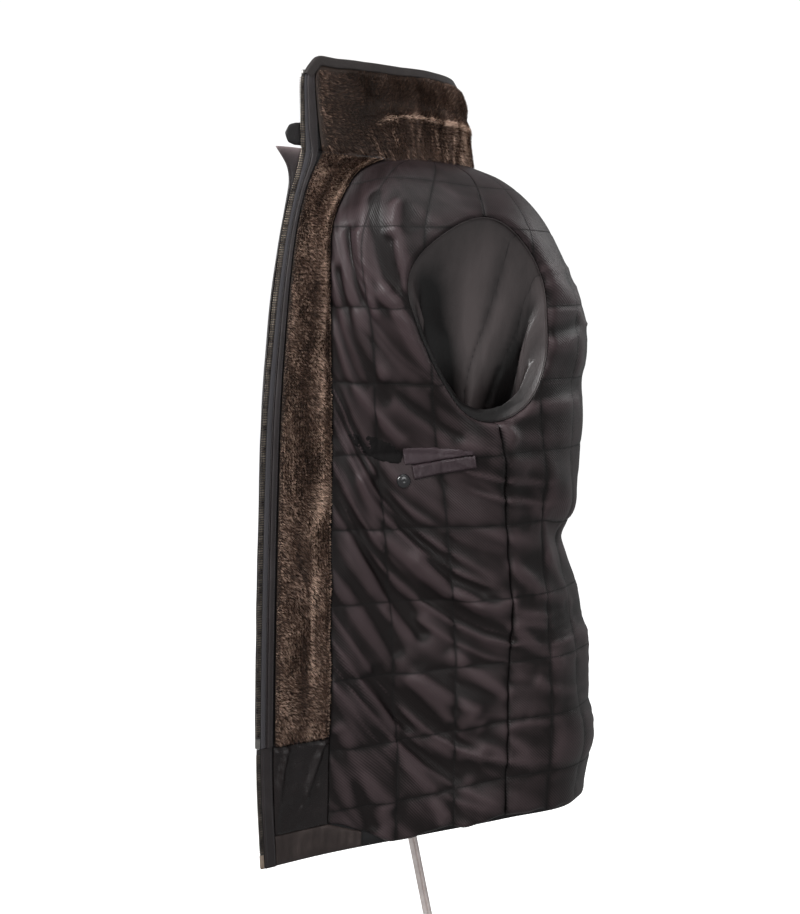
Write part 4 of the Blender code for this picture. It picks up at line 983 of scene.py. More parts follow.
@dataclass(frozen=True)
class Leather:
    """Grained leather: cells of grain, finer pores, broad uneven gloss, paler wear on raised places, and where asked a
    painted highlight.
    """

    name: str
    colour: tuple = (.0085, .0080, .0088)
    worn: tuple = (.022, .020, .022)
    roughness: float = 0.44
    grain: float = 620.0
    depth: float = 0.00020
    crumple: float = 0.0
    # Painted highlight: the pale colour goes where the map lie says so.
    pale: tuple = ()          # colour where the map "lie" says so; empty for none

    def material(self) -> bpy.types.Material:
        """Builds the material."""
        s = Shader(self.name)
        grain = s.cells(self.grain, "DISTANCE_TO_EDGE")
        pores = s.noise(self.grain * 2.6, 2.0)
        patches = s.noise(22.0, 4.0)
        veins = s.noise(70.0, 3.0)
        height = (grain * 3.0).clamped() * 0.7 + pores * 0.3
        if self.crumple:
            height = height + veins * self.crumple
        wear = ((patches - 0.45) * 2.6).clamped() * 0.6 + (veins - 0.5).clamped() * 0.5
        colour = s.mix(wear, self.colour, self.worn)
        # Painted highlight: mixed towards the pale colour where the map lie says so.
        if self.pale:
            colour = s.mix(s.uv("lie")[0] * (patches * 0.5 + 0.75), colour, self.pale)
        rough = patches * 0.22 + (self.roughness - 0.11) + (grain < 0.04) * 0.08
        return s.finish(Base_Color=colour, Roughness=rough,
                        Normal=s.bump(height, self.depth, 0.9), Specular_IOR_Level=0.36)


@dataclass(frozen=True)
class TwillSatin:
    """Quilted lining: satin with bold slanting ribs, sewn along its quilt lines with dark thread, with painted light
    and shade from its UV map lie.
    """

    name: str
    low: tuple = (.0050, .0028, .0028)
    high: tuple = (.0470, .0320, .0345)
    roughness: float = 0.46
    rib: float = 0.0025       # metres between ribs
    slant: float = 1.10       # ribs fall this far for each metre along

    def material(self) -> bpy.types.Material:
        """Builds the material."""
        s = Shader(self.name)
        along, up = s.uv("cloth")
        column, row = s.uv("quilt")
        sway = s.noise(9.0, 2.0) * 0.004
        phase = (up + along * self.slant + sway) * (2 * math.pi / (self.rib * math.hypot(1.0, self.slant)))
        rib = phase.sine() * 0.5 + 0.5
        weave = s.noise(2600.0, 1.0)
        across = column.from_line() * METRES_PER_U
        level = row.from_line() * Quilting.cell_height
        upright, flat = 1 - (across / 0.0010).clamped(), 1 - (level / 0.0010).clamped()
        dashes_up = ((up / 0.0036).fraction() - 0.22) * 8
        dashes_along = ((along / 0.0036).fraction() - 0.22) * 8
        thread = (upright * dashes_up.clamped()).maths("MAXIMUM", flat * dashes_along.clamped())
        seam = (1 - (across / 0.0019).clamped()).maths("MAXIMUM", 1 - (level / 0.0016).clamped())
        patches, bold = s.noise(7.0, 4.0), s.noise(16.0, 2.0)
        # The map lie: painted light on the relief's crests and painted shade in its hollows, then broad painted light
        # and shade.
        crest, painted_light = s.uv("lie")
        strong = ((bold - 0.42) * 4.5).clamped() * 0.34 + 0.14
        blend = (rib * strong + (patches - 0.5) * 0.45 + weave * 0.08 + (crest - 0.5) * 1.45 + painted_light).clamped()
        colour = s.mix(seam * 0.72, s.mix(blend, self.low, self.high), (.0026, .0018, .0019))
        height = rib * 0.6 + weave * 0.15 - thread * 0.9
        return s.finish(Base_Color=colour, Roughness=self.roughness + seam * 0.2 + (patches - 0.5) * 0.20,
                        Normal=s.bump(height, 0.00030, 0.8), Specular_IOR_Level=0.27)


@dataclass(frozen=True)
class PlainSatin:
    """Smooth sleeve lining: a fine close weave, soft streaks down its length, dark sewn lines, and painted light and
    shade from its UV map lie.
    """

    name: str
    low: tuple = (.0030, .0022, .0022)
    high: tuple = (.090, .074, .074)
    roughness: float = 0.40

    def material(self) -> bpy.types.Material:
        """Builds the material."""
        s = Shader(self.name)
        streaks = s.noise(1.0, 4.0, 0.6, s.stretched(60.0, 60.0, 7.0))
        weave = s.noise(2400.0, 1.0)
        creases = s.noise(1.0, 3.0, 0.5, s.stretched(110.0, 110.0, 22.0))
        from_seam, along = s.uv("seam")
        line = 1 - (from_seam / 0.0016).clamped()
        dashes = (((along / 0.0036).fraction() - 0.25) * 8).clamped()
        # The map lie: painted light on ridges, painted shade in troughs and deeper into the sleeve.
        crest, painted_light = s.uv("lie")
        blend = ((streaks - 0.5) * 0.4 + (crest - 0.5) * 1.5 + painted_light).clamped()
        colour = s.mix(line * (dashes * 0.3 + 0.6), s.mix(blend, self.low, self.high), (.004, .003, .003))
        return s.finish(Base_Color=colour, Roughness=streaks * 0.16 + (self.roughness - 0.08),
                        Normal=s.bump(creases * 0.6 + weave * 0.10 - line * 0.3, 0.0010, 0.7),
                        Specular_IOR_Level=0.5)


@dataclass(frozen=True)
class Fur:
    """Short dense plush: dark roots, brown pile and pale gold tips, where `shade`, the pile's tone with painted light
    and shade, says how pale a strand is.
    """

    name: str
    root: tuple = (.0120, .0070, .0048)
    pile: tuple = (.165, .094, .066)
    gold: tuple = (.900, .650, .500)

    def material(self) -> bpy.types.Material:
        """Builds the material."""
        s = Shader(self.name)
        tip, shade = s.attribute("tip"), s.attribute("shade")
        body = s.mix((tip * 1.3 - 0.15).clamped() * (shade * 1.6 + 0.25).clamped(), self.root, self.pile)
        # Gold tips: the pile's own tone, and painted highlight where `shade` carries painted light.
        gold = ((shade - 0.30) * 1.35).clamped() * (tip ** 1.3)
        return s.finish(Base_Color=s.mix(gold, body, self.gold), Roughness=0.58, Specular_IOR_Level=0.30)


@dataclass(frozen=True)
class Metal:
    """Metal with fine scratches, tarnish in patches and brighter worn places."""

    name: str
    dark: tuple
    bright: tuple
    roughness: float
    metallic: float = 1.0
    fine: float = 900.0

    def material(self) -> bpy.types.Material:
        """Builds the material."""
        s = Shader(self.name)
        tarnish = s.noise(130.0, 4.0)
        scratches = s.noise(1.0, 3.0, 0.6, s.stretched(self.fine, self.fine, self.fine / 12))
        return s.finish(Base_Color=s.mix(((tarnish - 0.35) * 2).clamped(), self.dark, self.bright),
                        Roughness=scratches * 0.22 + (self.roughness - 0.10), Metallic=self.metallic,
                        Normal=s.bump(scratches, 0.00006, 0.5))


@dataclass(frozen=True)
class WovenTape:
    """Close woven tape: a herringbone of fine ribs along the zip."""

    name: str
    low: tuple = (.018, .016, .019)
    high: tuple = (.050, .046, .054)

    def material(self) -> bpy.types.Material:
        """Builds the material."""
        s = Shader(self.name)
        along, over = s.uv("strip")
        ribs = (((along + abs(over - 0.003) * 0.8) * (2 * math.pi / 0.0011)).sine() * 0.5) + 0.5
        fuzz = s.noise(1800.0, 2.0)
        return s.finish(Base_Color=s.mix((ribs * 0.6 + fuzz * 0.3).clamped(), self.low, self.high), Roughness=0.72,
                        Normal=s.bump(ribs * 0.7 + fuzz * 0.3, 0.00018, 0.9), Sheen_Weight=0.2)


@dataclass(frozen=True)
class Enamel:
    """Smooth enamelled cap with faint orange-peel and dulled patches."""

    name: str
    colour: tuple = (.0060, .0060, .0066)
    roughness: float = 0.16

    def material(self) -> bpy.types.Material:
        """Builds the material."""
        s = Shader(self.name)
        peel = s.noise(700.0, 2.0)
        dull = s.noise(160.0, 3.0)
        return s.finish(Base_Color=s.mix(dull, self.colour, (.018, .018, .020)), Roughness=dull * 0.2 + self.roughness,
                        Coat_Weight=0.5, Coat_Roughness=0.08, Normal=s.bump(peel, 0.00005, 0.4))


@dataclass(frozen=True)
class Powder:
    """Powder-coated steel: fine speckle and a slight orange-peel."""

    name: str
    low: tuple = (.46, .45, .44)
    high: tuple = (.60, .59, .58)

    def material(self) -> bpy.types.Material:
        """Builds the material."""
        s = Shader(self.name)
        speckle = s.noise(1400.0, 2.0)
        smudge = s.noise(14.0, 4.0)
        return s.finish(Base_Color=s.mix((speckle * 0.5 + smudge * 0.5).clamped(), self.low, self.high),
                        Roughness=smudge * 0.2 + 0.42, Metallic=0.15, Normal=s.bump(speckle, 0.00012, 0.6))


@dataclass(frozen=True)
class Thread:
    """Sewing thread, twisted."""

    name: str
    colour: tuple = (.020, .019, .021)

    def material(self) -> bpy.types.Material:
        """Builds the material."""
        s = Shader(self.name)
        twist = s.noise(2600.0, 2.0)
        return s.finish(Base_Color=s.mix(twist, self.colour, (.055, .052, .056)), Roughness=0.55,
                        Normal=s.bump(twist, 0.0001, 0.6))


class Finishes:
    """Every finish of the jacket and its stand, made once."""

    def __init__(self) -> None:
        """Builds the materials."""
        self.leather = Leather("leather_smooth", colour=(.0180, .0140, .0145), worn=(.046, .038, .040)).material()
        self.shell = Leather("leather_outer", grain=520.0, depth=0.00024, roughness=0.46, crumple=0.5).material()
        self.glossy = Leather("leather_glossy", colour=(.0080, .0054, .0054), worn=(.018, .0135, .0140),
                              roughness=0.25, crumple=1.5).material()
        self.hem = Leather("leather_hem", colour=(.0260, .0180, .0165), worn=(.070, .052, .048), roughness=0.48,
                           crumple=0.8).material()
        self.binding = Leather("leather_binding", colour=(.0150, .0115, .0110), worn=(.044, .036, .034),
                               roughness=0.52, crumple=0.4).material()
        # The flap's pale colour is a painted highlight on its curled top.
        self.flap = Leather("leather_flap", colour=(.0150, .0125, .0130), worn=(.050, .041, .043), roughness=0.36,
                            crumple=0.3, pale=(.270, .215, .220)).material()
        self.tab = Leather("leather_tab", colour=(.0100, .0085, .0090), grain=420.0, depth=0.0004).material()
        self.lining = TwillSatin("quilted_twill").material()
        self.welt = TwillSatin("welt_twill", low=(.016, .0098, .0115), high=(.050, .034, .040), slant=0.10,
                               # Painted shadow: a near-black twill for the sheet in the pocket's gaping mouth.
                               rib=0.0012).material()
        self.dark = TwillSatin("pocket_dark", low=(.0010, .0007, .0007), high=(.0030, .0020, .0021),
                               roughness=0.85).material()
        self.satin = PlainSatin("sleeve_satin").material()
        self.fur = Fur("plush_fur").material()
        self.skin = Fur("fur_skin", pile=(.030, .017, .011), gold=(.050, .034, .022)).material()
        self.teeth = Metal("antique_nickel", (.020, .015, .012), (.32, .27, .22), 0.36).material()
        self.brass = Metal("worn_brass", (.42, .32, .25), (.80, .68, .56), 0.32).material()
        self.nickel = Metal("plain_nickel", (.20, .19, .18), (.58, .57, .55), 0.30).material()
        self.aluminium = Metal("matte_aluminium", (.72, .64, .62), (.90, .83, .81), 0.50, 0.55, 1400.0).material()
        self.snap = Enamel("black_enamel").material()
        self.steel = Powder("powder_coat").material()
        self.tape = WovenTape("zip_tape").material()
        self.cord = WovenTape("zip_cord", low=(.008, .006, .006), high=(.022, .018, .018)).material()
        self.thread = Thread("black_thread").material()


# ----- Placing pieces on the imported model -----
def dress(obj: bpy.types.Object, material: bpy.types.Material, slot: str, *nodes: str) -> bpy.types.Object:
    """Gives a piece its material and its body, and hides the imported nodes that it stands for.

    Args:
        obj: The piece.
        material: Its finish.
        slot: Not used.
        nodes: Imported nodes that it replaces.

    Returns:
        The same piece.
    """
    if obj.name.split(".")[0] in nodes:
        obj.name = obj.name.split(".")[0] + "_dressed"
    obj.data.materials.clear()
    obj.data.materials.append(material)
    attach(obj, "root")
    if nodes:
        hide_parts(*nodes)
    log.info("%-24s %7d faces", obj.name, len(obj.data.polygons))
    return obj


def one_face_area(obj: bpy.types.Object) -> float:
    """Area of one face of a thin wall: half of all its faces."""
    areas = np.empty(len(obj.data.polygons))
    obj.data.polygons.foreach_get("area", areas)
    return float(areas.sum()) / 2


def declare_cloth(obj: bpy.types.Object, width: float, length: float, rests_on: Sequence[str]) -> None:
    """Scales a width by length up to the area of one face of a piece; the result is not kept."""
    area = one_face_area(obj)
    scale = max(1.0, math.sqrt(area / (width * length)) * 1.002)
    width, length = width * scale, length * scale


# ----- The coat's pieces -----
@dataclass
class Armhole:
    """One armhole: where it lies, and where the coat's surface passes round it."""

    form: CoatForm
    side: Side

    @property
    def middle(self) -> Array:
        """(y, z) of its middle."""
        return np.array(ARMHOLE_MIDDLE) + np.array([0.0 if self.side is Side.RIGHT else LEFT_ARMHOLE_SHIFT, 0.0])

    @staticmethod
    def radius(turn: Array) -> Array:
        """Radius at a turn: a cubic through the table's twelve radii, repeated so that it closes."""
        table = np.array(ARMHOLE_RADII * 3)
        knots = (np.arange(len(table)) - len(ARMHOLE_RADII)) * math.pi / 6
        turn = np.mod(turn, 2 * math.pi)
        return smooth_through(knots, table, turn.ravel()).reshape(turn.shape)

    def outside(self, points: Array) -> Array:
        """How far points lie outside its outline, seen along X; points of the other side count as far away."""
        away = points[..., 1:] - self.middle
        turn = np.arctan2(away[..., 1], away[..., 0])
        room = np.hypot(away[..., 0], away[..., 1]) - self.radius(turn)
        return np.where(points[..., 0] * self.side.value > 0.05, room, 1.0)

    def onto_outline(self, points: Array, normals: Array, grow: float) -> Array:
        """Points slid along the surface's tangent plane until they lie `grow` outside the outline."""
        away = points[..., 1:] - self.middle
        turn = np.arctan2(away[..., 1], away[..., 0])
        reach = self.radius(turn) + grow
        moved = self.middle + np.stack([np.cos(turn), np.sin(turn)], -1) * reach[..., None]
        slide = moved - points[..., 1:]
        slope = np.where(np.abs(normals[..., 0]) < 0.2, 0.2 * np.sign(normals[..., 0] + 1e-9), normals[..., 0])
        dx = -(normals[..., 1] * slide[..., 0] + normals[..., 2] * slide[..., 1]) / slope
        return np.stack([points[..., 0] + dx, moved[..., 0], moved[..., 1]], -1)

    def surface_x(self, y: Array, z: Array) -> Array:
        """x of the coat's surface at (y, z): the nearest place of a grid, then Newton's steps on (u, w)."""
        u, w = spread(np.linspace(2.2, 6.2, 110), np.linspace(0.78, 1.12, 110))
        u = u if self.side is Side.RIGHT else LAP - u
        known = self.form.points(u, w).reshape(-1, 3)
        gap = (known[None, :, 1] - y[:, None])**2 + (known[None, :, 2] - z[:, None])**2
        near = gap.argmin(axis=1)
        u, w = u.ravel()[near], w.ravel()[near]
        for _ in range(4):
            here = self.form.points(u, w)
            by_u = (self.form.points(u + 0.01, w) - here) / 0.01
            by_w = (self.form.points(u, w + 0.001) - here) / 0.001
            miss = np.stack([y - here[:, 1], z - here[:, 2]], -1)
            det = by_u[:, 1] * by_w[:, 2] - by_w[:, 1] * by_u[:, 2]
            det = np.where(np.abs(det) < 1e-6, 1e-6, det)
            u = u + np.clip((miss[:, 0] * by_w[:, 2] - miss[:, 1] * by_w[:, 1]) / det, -0.3, 0.3)
            w = w + np.clip((miss[:, 1] * by_u[:, 1] - miss[:, 0] * by_u[:, 2]) / det, -0.02, 0.02)
        return self.form.points(u, w)[:, 0]


@dataclass
class Body:
    """Leather shell and quilted lining of the fronts and the back."""

    form: CoatForm
    finishes: Finishes
    lining_cell: float = 0.0030
    back_cell: float = 0.0038
    left_cell: float = 0.0044
    shell_cell: float = 0.0095
    roll: float = 0.006       # how far from an armhole the lining takes to round over

    def __post_init__(self) -> None:
        """Makes the quilting and the two armholes."""
        self.quilting = Quilting(self.form)
        self.holes = {side: Armhole(self.form, side) for side in Side}

    def build(self) -> None:
        """Builds the six walls."""
        front, back = (FACING_SEAM, SIDE_SEAM), (SIDE_SEAM, LAP - SIDE_SEAM)
        left = (LAP - SIDE_SEAM, LAP - FACING_SEAM)
        self.lining("lining_front_right", front, self.lining_cell, (Side.RIGHT,))
        self.lining("lining_back", back, self.back_cell, (Side.RIGHT, Side.LEFT))
        self.lining("lining_front_left", left, self.left_cell, (Side.LEFT,))
        self.shell("shell_front_right", (EDGE, SIDE_SEAM), (Side.RIGHT,))
        self.shell("shell_back", back, (Side.RIGHT, Side.LEFT))
        self.shell("shell_front_left", (LAP - SIDE_SEAM, LAP - EDGE), (Side.LEFT,))

    def lining_bottom(self, u: Array) -> Array:
        """The lining's lower edge: above the hem band in front, then sagging, with a wavy lip, to the hem."""
        side_u = self.form.right_side(u)
        share = np.clip((side_u - FACING_SEAM) / (QUILT_SEAM - FACING_SEAM), 0, 1)
        share = share * share * (3 - 2 * share)
        wave = SmoothNoise(12)(side_u * 3.1, 2.0) * 0.0030 * np.clip((side_u - 1.1) * 2, 0, 1)
        return HEM_BAND_TOP + (HEM_LEVEL + LINING_LIP - HEM_BAND_TOP) * share + wave * (share > 0.5)

    def cells(self, span: tuple[float, float], size: float, bottom: Callable[[Array], Array]
              ) -> tuple[Array, Array, Array]:
        """A grid of about square cells over a span of u, from a lower edge up to the neck seam.

        Returns:
            u, w and the cloth's own length at each grid point.
        """
        fine = np.linspace(*span, 200)
        length = self.form.cloth_length(fine, 0.62)
        columns = np.interp(steps(0, length[-1], size), length, fine)
        shares = steps(0, NECK_LEVEL - HEM_LEVEL, size) / (NECK_LEVEL - HEM_LEVEL)
        low = bottom(columns)
        u = np.repeat(columns[None], len(shares), axis=0)
        w = low[None] + (NECK_LEVEL - low[None]) * shares[:, None]
        along = np.repeat(np.interp(columns, fine, length)[None], len(shares), axis=0)
        return u, w, along

    def open_armholes(self, outer: Array, inner: Array, normals: Array, sides: Sequence[Side]
                      ) -> tuple[Array, Array, Array]:
        """Drops the cells in the armholes and slides the cells' corners beside them onto the outline."""
        middles = (outer[:-1, :-1] + outer[1:, 1:]) / 2
        keep = np.ones(middles.shape[:2], bool)
        for side in sides:
            hole = self.holes[side]
            inside = hole.outside(middles) < 0
            keep &= ~inside
            touched = np.zeros(outer.shape[:2], bool)
            beside = np.zeros(outer.shape[:2], bool)
            for rows, columns in ((slice(0, -1), slice(0, -1)), (slice(0, -1), slice(1, None)),
                                  (slice(1, None), slice(0, -1)), (slice(1, None), slice(1, None))):
                touched[rows, columns] |= inside
                beside[rows, columns] |= ~inside
            rim = touched & beside
            outer[rim] = hole.onto_outline(outer[rim], normals[rim], 0.0012)
            inner[rim] = hole.onto_outline(inner[rim], normals[rim], 0.0002)
        return outer, inner, keep

    @staticmethod
    def crest(relief: Array, rounds: int = 24) -> Array:
        """0 in hollows, 1 on crests: the relief less its own mean over the cells around; the lining paints shade in the
        hollows and light on the crests from it.
        """
        mean = relief
        for _ in range(rounds):
            mean = np.pad(mean, 1, mode="edge")
            mean = (mean[:-2, 1:-1] + mean[2:, 1:-1] + mean[1:-1, :-2] + mean[1:-1, 2:]) / 4
        return np.clip(0.5 + (relief - mean) / 0.0034, 0, 1)

    def painted_light(self, u: Array, w: Array) -> Array:
        """Broad painted light and shade of the cloth's colour: bell curves at places (u, w) over a middling level."""
        side_u = self.form.right_side(u)
        total = np.full(u.shape, 0.15)
        for place in PAINTED_LIGHT_PLACES:
            total += place.height * np.exp(-((side_u - place.u) / place.wide)**2 - ((w - place.w) / place.tall)**2)
        return total

    def lining(self, name: str, span: tuple[float, float], size: float, sides: Sequence[Side]) -> None:
        """A quilted wall on the coat's surface, its relief fading where it rolls over into an armhole."""
        margin = 0.0002 / METRES_PER_U
        u, w, along = self.cells((span[0] + margin, span[1] - margin), size, self.lining_bottom)
        base = self.form.points(u, w)
        normals = grid_normals(base)
        fade = np.ones(u.shape)
        for side in sides:
            fade *= np.sqrt(np.clip(self.holes[side].outside(base) / self.roll, 0.0, 1.0))
        side_edge = np.minimum(u - span[0], span[1] - u) * METRES_PER_U
        fade *= np.sqrt(np.clip(side_edge / 0.0012 + 0.45, 0, 1))
        low_edge = (w - w[:1]) / 0.004
        fade *= np.sqrt(np.clip(low_edge + 0.2, 0, 1))
        relief = self.quilting.height(u, w)
        height = LINING_FLOOR + 0.0002 + (LINING_STITCHED - LINING_FLOOR + relief) * fade
        height = np.maximum(height, LINING_FLOOR + 0.0002)
        outer = base + normals * height[..., None]
        inner = base + normals * (LINING_FLOOR - 0.0003)
        outer, inner, keep = self.open_armholes(outer, inner, normals, sides)
        # The map lie: painted shade in the relief's hollows and painted light on its crests, then broad painted light
        # and shade.
        maps = {"cloth": np.stack([along, w], -1),
                "quilt": np.stack([self.form.right_side(u), self.quilting.cell(w)], -1),
                "lie": np.stack([self.crest(relief), self.painted_light(u, w)], -1)}
        wall = make_wall(name, outer, inner, keep, maps=maps)
        dress(wall, self.finishes.lining, "quilted_lining", name)
        declare_cloth(wall, float(along.max()), NECK_LEVEL - HEM_LEVEL, ["stand_yoke"])

    def shell(self, name: str, span: tuple[float, float], sides: Sequence[Side]) -> None:
        """A leather wall under the lining, its outer face on the coat's surface and its grain to the hollow."""
        margin = 0.0004
        u, w, along = self.cells((span[0] + margin, span[1] - margin), self.shell_cell,
                                 lambda column: np.full(column.shape, HEM_LEVEL))
        base = self.form.points(u, w)
        normals = grid_normals(base)
        wrinkle = SmoothNoise(21)
        slack = 0.0012 * wrinkle(along / 0.022, w / 0.050) * np.clip((w - HEM_LEVEL) / 0.06, 0, 1)
        slack *= np.clip((NECK_LEVEL - w) / 0.06, 0, 1)
        outer = base.copy()
        inner = base - normals * (LEATHER + 0.0004 + slack[..., None] * 0.6)
        outer, inner, keep = self.open_armholes(outer, inner, normals, sides)
        wall = make_wall(name, outer, inner, keep)
        dress(wall, self.finishes.shell, "leather", name)
        declare_cloth(wall, float(along.max()), NECK_LEVEL - HEM_LEVEL, ["stand_yoke"])


class Pleat(NamedTuple):
    """A lengthways pleat of the sleeve lining: its turn and height at rows down the sleeve, and its spread."""

    path: tuple
    spread: float


@dataclass
class Sleeves:
    """Sleeve lining inside sleeve leather, both hanging in the coat's hollow."""

    form: CoatForm
    finishes: Finishes
    cells: tuple = ((180, 130), (96, 60), (48, 34))   # round and along: right lining, left lining, leather
    # Two sewn lines first, then pleats; each place is (row, turn, height).
    pleats: tuple = (
        Pleat(((0.2, 1.18, -.002), (1.1, 1.24, -.004), (1.8, 1.37, -.005), (2.7, 1.62, -.004),
               (5.0, 1.8, -.002)), .050),
        Pleat(((0.9, 0.60, -.002), (1.6, 0.72, -.005), (2.5, 0.92, -.007), (3.2, 1.18, -.006),
               (5.0, 1.4, -.002)), .055),
        Pleat(((0.3, 1.55, .000), (1.0, 1.62, .009), (2.0, 1.62, .013), (3.0, 1.55, .009), (4.5, 1.5, .002)), .190),
        Pleat(((0.6, 2.55, .000), (1.2, 2.32, -.012), (2.0, 2.12, -.017), (3.2, 1.98, -.014), (5.0, 1.9, -.003)), .150),
        Pleat(((0.3, 2.85, .002), (1.2, 2.72, .010), (2.4, 2.62, .008), (5.0, 2.6, .000)), .130),
        Pleat(((0.6, 1.00, .000), (1.3, 1.02, .007), (2.2, 1.22, .007), (3.2, 1.45, .004)), .110),
        Pleat(((0.6, 0.25, .000), (1.1, 0.42, -.008), (1.9, 0.56, -.013), (2.8, 0.74, -.016), (3.6, 0.95, -.012),
               (5.0, 1.1, -.002)), .110),
        Pleat(((0.6, -0.05, .000), (1.6, 0.05, .004), (3.0, 0.20, .003), (5.0, 0.3, .000)), .150),
        Pleat(((0.5, -1.00, .000), (2.5, -1.00, .003), (8.0, -1.0, .003)), .120),
        Pleat(((0.5, -1.80, .000), (2.5, -1.80, -.003), (8.0, -1.8, -.003)), .140))
    seams: tuple = (0, 1)     # which pleats are sewn lines
    slack: tuple = (.0160, .0060)     # how far the lining stands off the leather near its mouth and further in
    radius: float = 0.085     # a mean round the tube, by which turns become metres

    def build(self) -> None:
        """Builds both sleeves."""
        for side in Side:
            hole = Armhole(self.form, side)
            for make, (around, along) in ((self.lining, self.cells[side is Side.LEFT]), (self.leather, self.cells[2])):
                turns = np.arange(around) * 2 * math.pi / around
                make(side, hole, self.wall_depth(hole, turns), turns, along)

    def wall_depth(self, hole: Armhole, turns: Array) -> Array:
        """How far out the coat's surface lies round the armhole."""
        radius = hole.radius(turns)
        y = hole.middle[0] + radius * np.cos(turns)
        z = hole.middle[1] + radius * np.sin(turns)
        return np.abs(hole.surface_x(y, z))

    def rings(self, hole: Armhole, wall_x: Array, turns: Array, grow: float, setback: float) -> Array:
        """Rings from the armhole inwards: the egg-shaped mouth, then flattened ovals that turn to hang down."""
        sign = hole.side.value
        radius = hole.radius(turns)
        circle = np.stack([np.cos(turns), np.sin(turns)], -1)
        mouth = hole.middle + circle * (radius + grow)[:, None]
        rings = [np.column_stack([sign * (wall_x - setback - depth), mouth])
                 for depth in (0.0, 0.4 * SLEEVE_MOUTH_DEPTH, SLEEVE_MOUTH_DEPTH)]
        egg = circle * radius[:, None] / np.array(EGG_HALF_SIZE)
        for ring in SLEEVE_RINGS:
            shape = egg * (1 - ring.roundness) + circle * ring.roundness
            flat = shape * np.array([ring.half_width, ring.height / 2]) + unit(shape) * grow
            turn = math.radians(ring.turn)
            up = flat[:, 1] + ring.height / 2
            backward = np.clip(flat[:, 0] / ring.half_width, 0, 1)
            x = ring.x - up * math.sin(turn) - ring.drawn_in * backward**2
            shift = hole.middle[0] - ARMHOLE_MIDDLE[0]
            rings.append(np.column_stack([sign * x, ring.y + shift + flat[:, 0], ring.z + up * math.cos(turn)]))
        return np.array(rings)

    def tube(self, hole: Armhole, wall_x: Array, turns: Array, count: int, grow: float, setback: float
             ) -> tuple[Array, Array]:
        """Cubics through the rings: the tube's points, and where along the rings each row lies."""
        knots = np.array([0.0, 0.25, 0.6] + [1.6 + k for k in range(len(SLEEVE_RINGS))])
        reads = np.concatenate([np.linspace(0, 0.6, 8), np.linspace(0.6, knots[-1], count)[1:]])
        return smooth_through(knots, self.rings(hole, wall_x, turns, grow, setback), reads), reads

    @staticmethod
    def pleat_at(pleat: Pleat, reads: Array) -> tuple[Array, Array]:
        """A pleat's turn and height at each row, in straight lines between its places, each a column."""
        rows, turns, heights = np.array(pleat.path).T
        return np.interp(reads, rows, turns)[:, None], np.interp(reads, rows, heights)[:, None]

    def lining(self, side: Side, hole: Armhole, wall_x: Array, turns: Array, count: int) -> None:
        """The satin tube: it stands off the leather, with pleats, short puckers at sewn lines and ripples; painted
        light and shade lie in its colour.
        """
        name = "sleeve_lining_" + side.label
        outer, reads = self.tube(hole, wall_x, turns, count, 0.0, 0.0002)
        inner, _ = self.tube(hole, wall_x, turns, count, -SLEEVE_LINING, 0.0002)
        relief = np.zeros((len(reads), len(turns)))
        sway = SmoothNoise(31 + side.value)
        from_seam = np.full(relief.shape, 1.0)
        for number, pleat in enumerate(self.pleats):
            place, tall = self.pleat_at(pleat, reads)
            away = np.angle(np.exp(1j * (turns[None] - place)))
            strength = 0.90 + 0.25 * sway(reads * 1.3, number * 3.1)[:, None]
            relief += tall * np.exp(-(away / pleat.spread)**2 / 2) * strength
            if number in self.seams:
                distance = np.abs(away) * self.radius
                from_seam = np.minimum(from_seam, distance)
                puckers = sway(reads[:, None] * 19 + away * 6, number * 5 + 2)
                relief += 0.0016 * puckers * np.exp(-distance / 0.008)
        relief += 0.0012 * sway(turns[None] * 7.0 + reads[:, None] * 0.8, reads[:, None] * 1.2)
        relief += 0.0005 * sway(turns[None] * 21.0 + reads[:, None] * 1.5, reads[:, None] * 4.0)
        free = np.clip((reads - 0.25) / 0.9, 0, 1) * np.clip((reads[-1] - reads) / 0.5, 0, 1)
        deep = np.clip((reads - 2.6) / 1.6, 0, 1)
        slack = self.slack[0] + (self.slack[1] - self.slack[0]) * deep
        most = 0.034 - 0.018 * deep
        inward = np.clip(slack[:, None] + relief, 0.0005, most[:, None]) * free[:, None]
        toward = unit(outer.mean(axis=1, keepdims=True) - outer)
        step = toward * inward[..., None]
        rows = np.repeat(reads[:, None], len(turns), axis=1)
        # Painted shade: darker deeper into the sleeve and round its lower side near the mouth; the first number paints
        # light on ridges and shade in troughs.
        painted_light = 0.62 - 0.34 * np.clip((rows - 1.7) / 1.9, 0, 1) - 0.16 * np.clip(rows - 0.3, 0, 1)
        below = np.exp(-(np.angle(np.exp(1j * (turns[None] + 2.35))) / 0.95)**2)
        painted_light = painted_light - (0.95 * below + 0.30 * np.clip(-np.sin(turns), 0, 1)[None]) * np.clip(2.2 - rows, 0, 1)
        maps = {"seam": np.stack([from_seam, rows * 0.08], -1),
                "lie": np.stack([np.clip(0.5 + relief / 0.024, 0, 1), painted_light], -1)}
        tube = make_wall(name, outer + step, inner + step, wrap=True, maps=maps)
        dress(tube, self.finishes.satin, "sleeve_satin", name)
        declare_cloth(tube, 0.52, 0.72, ["shell_back"])

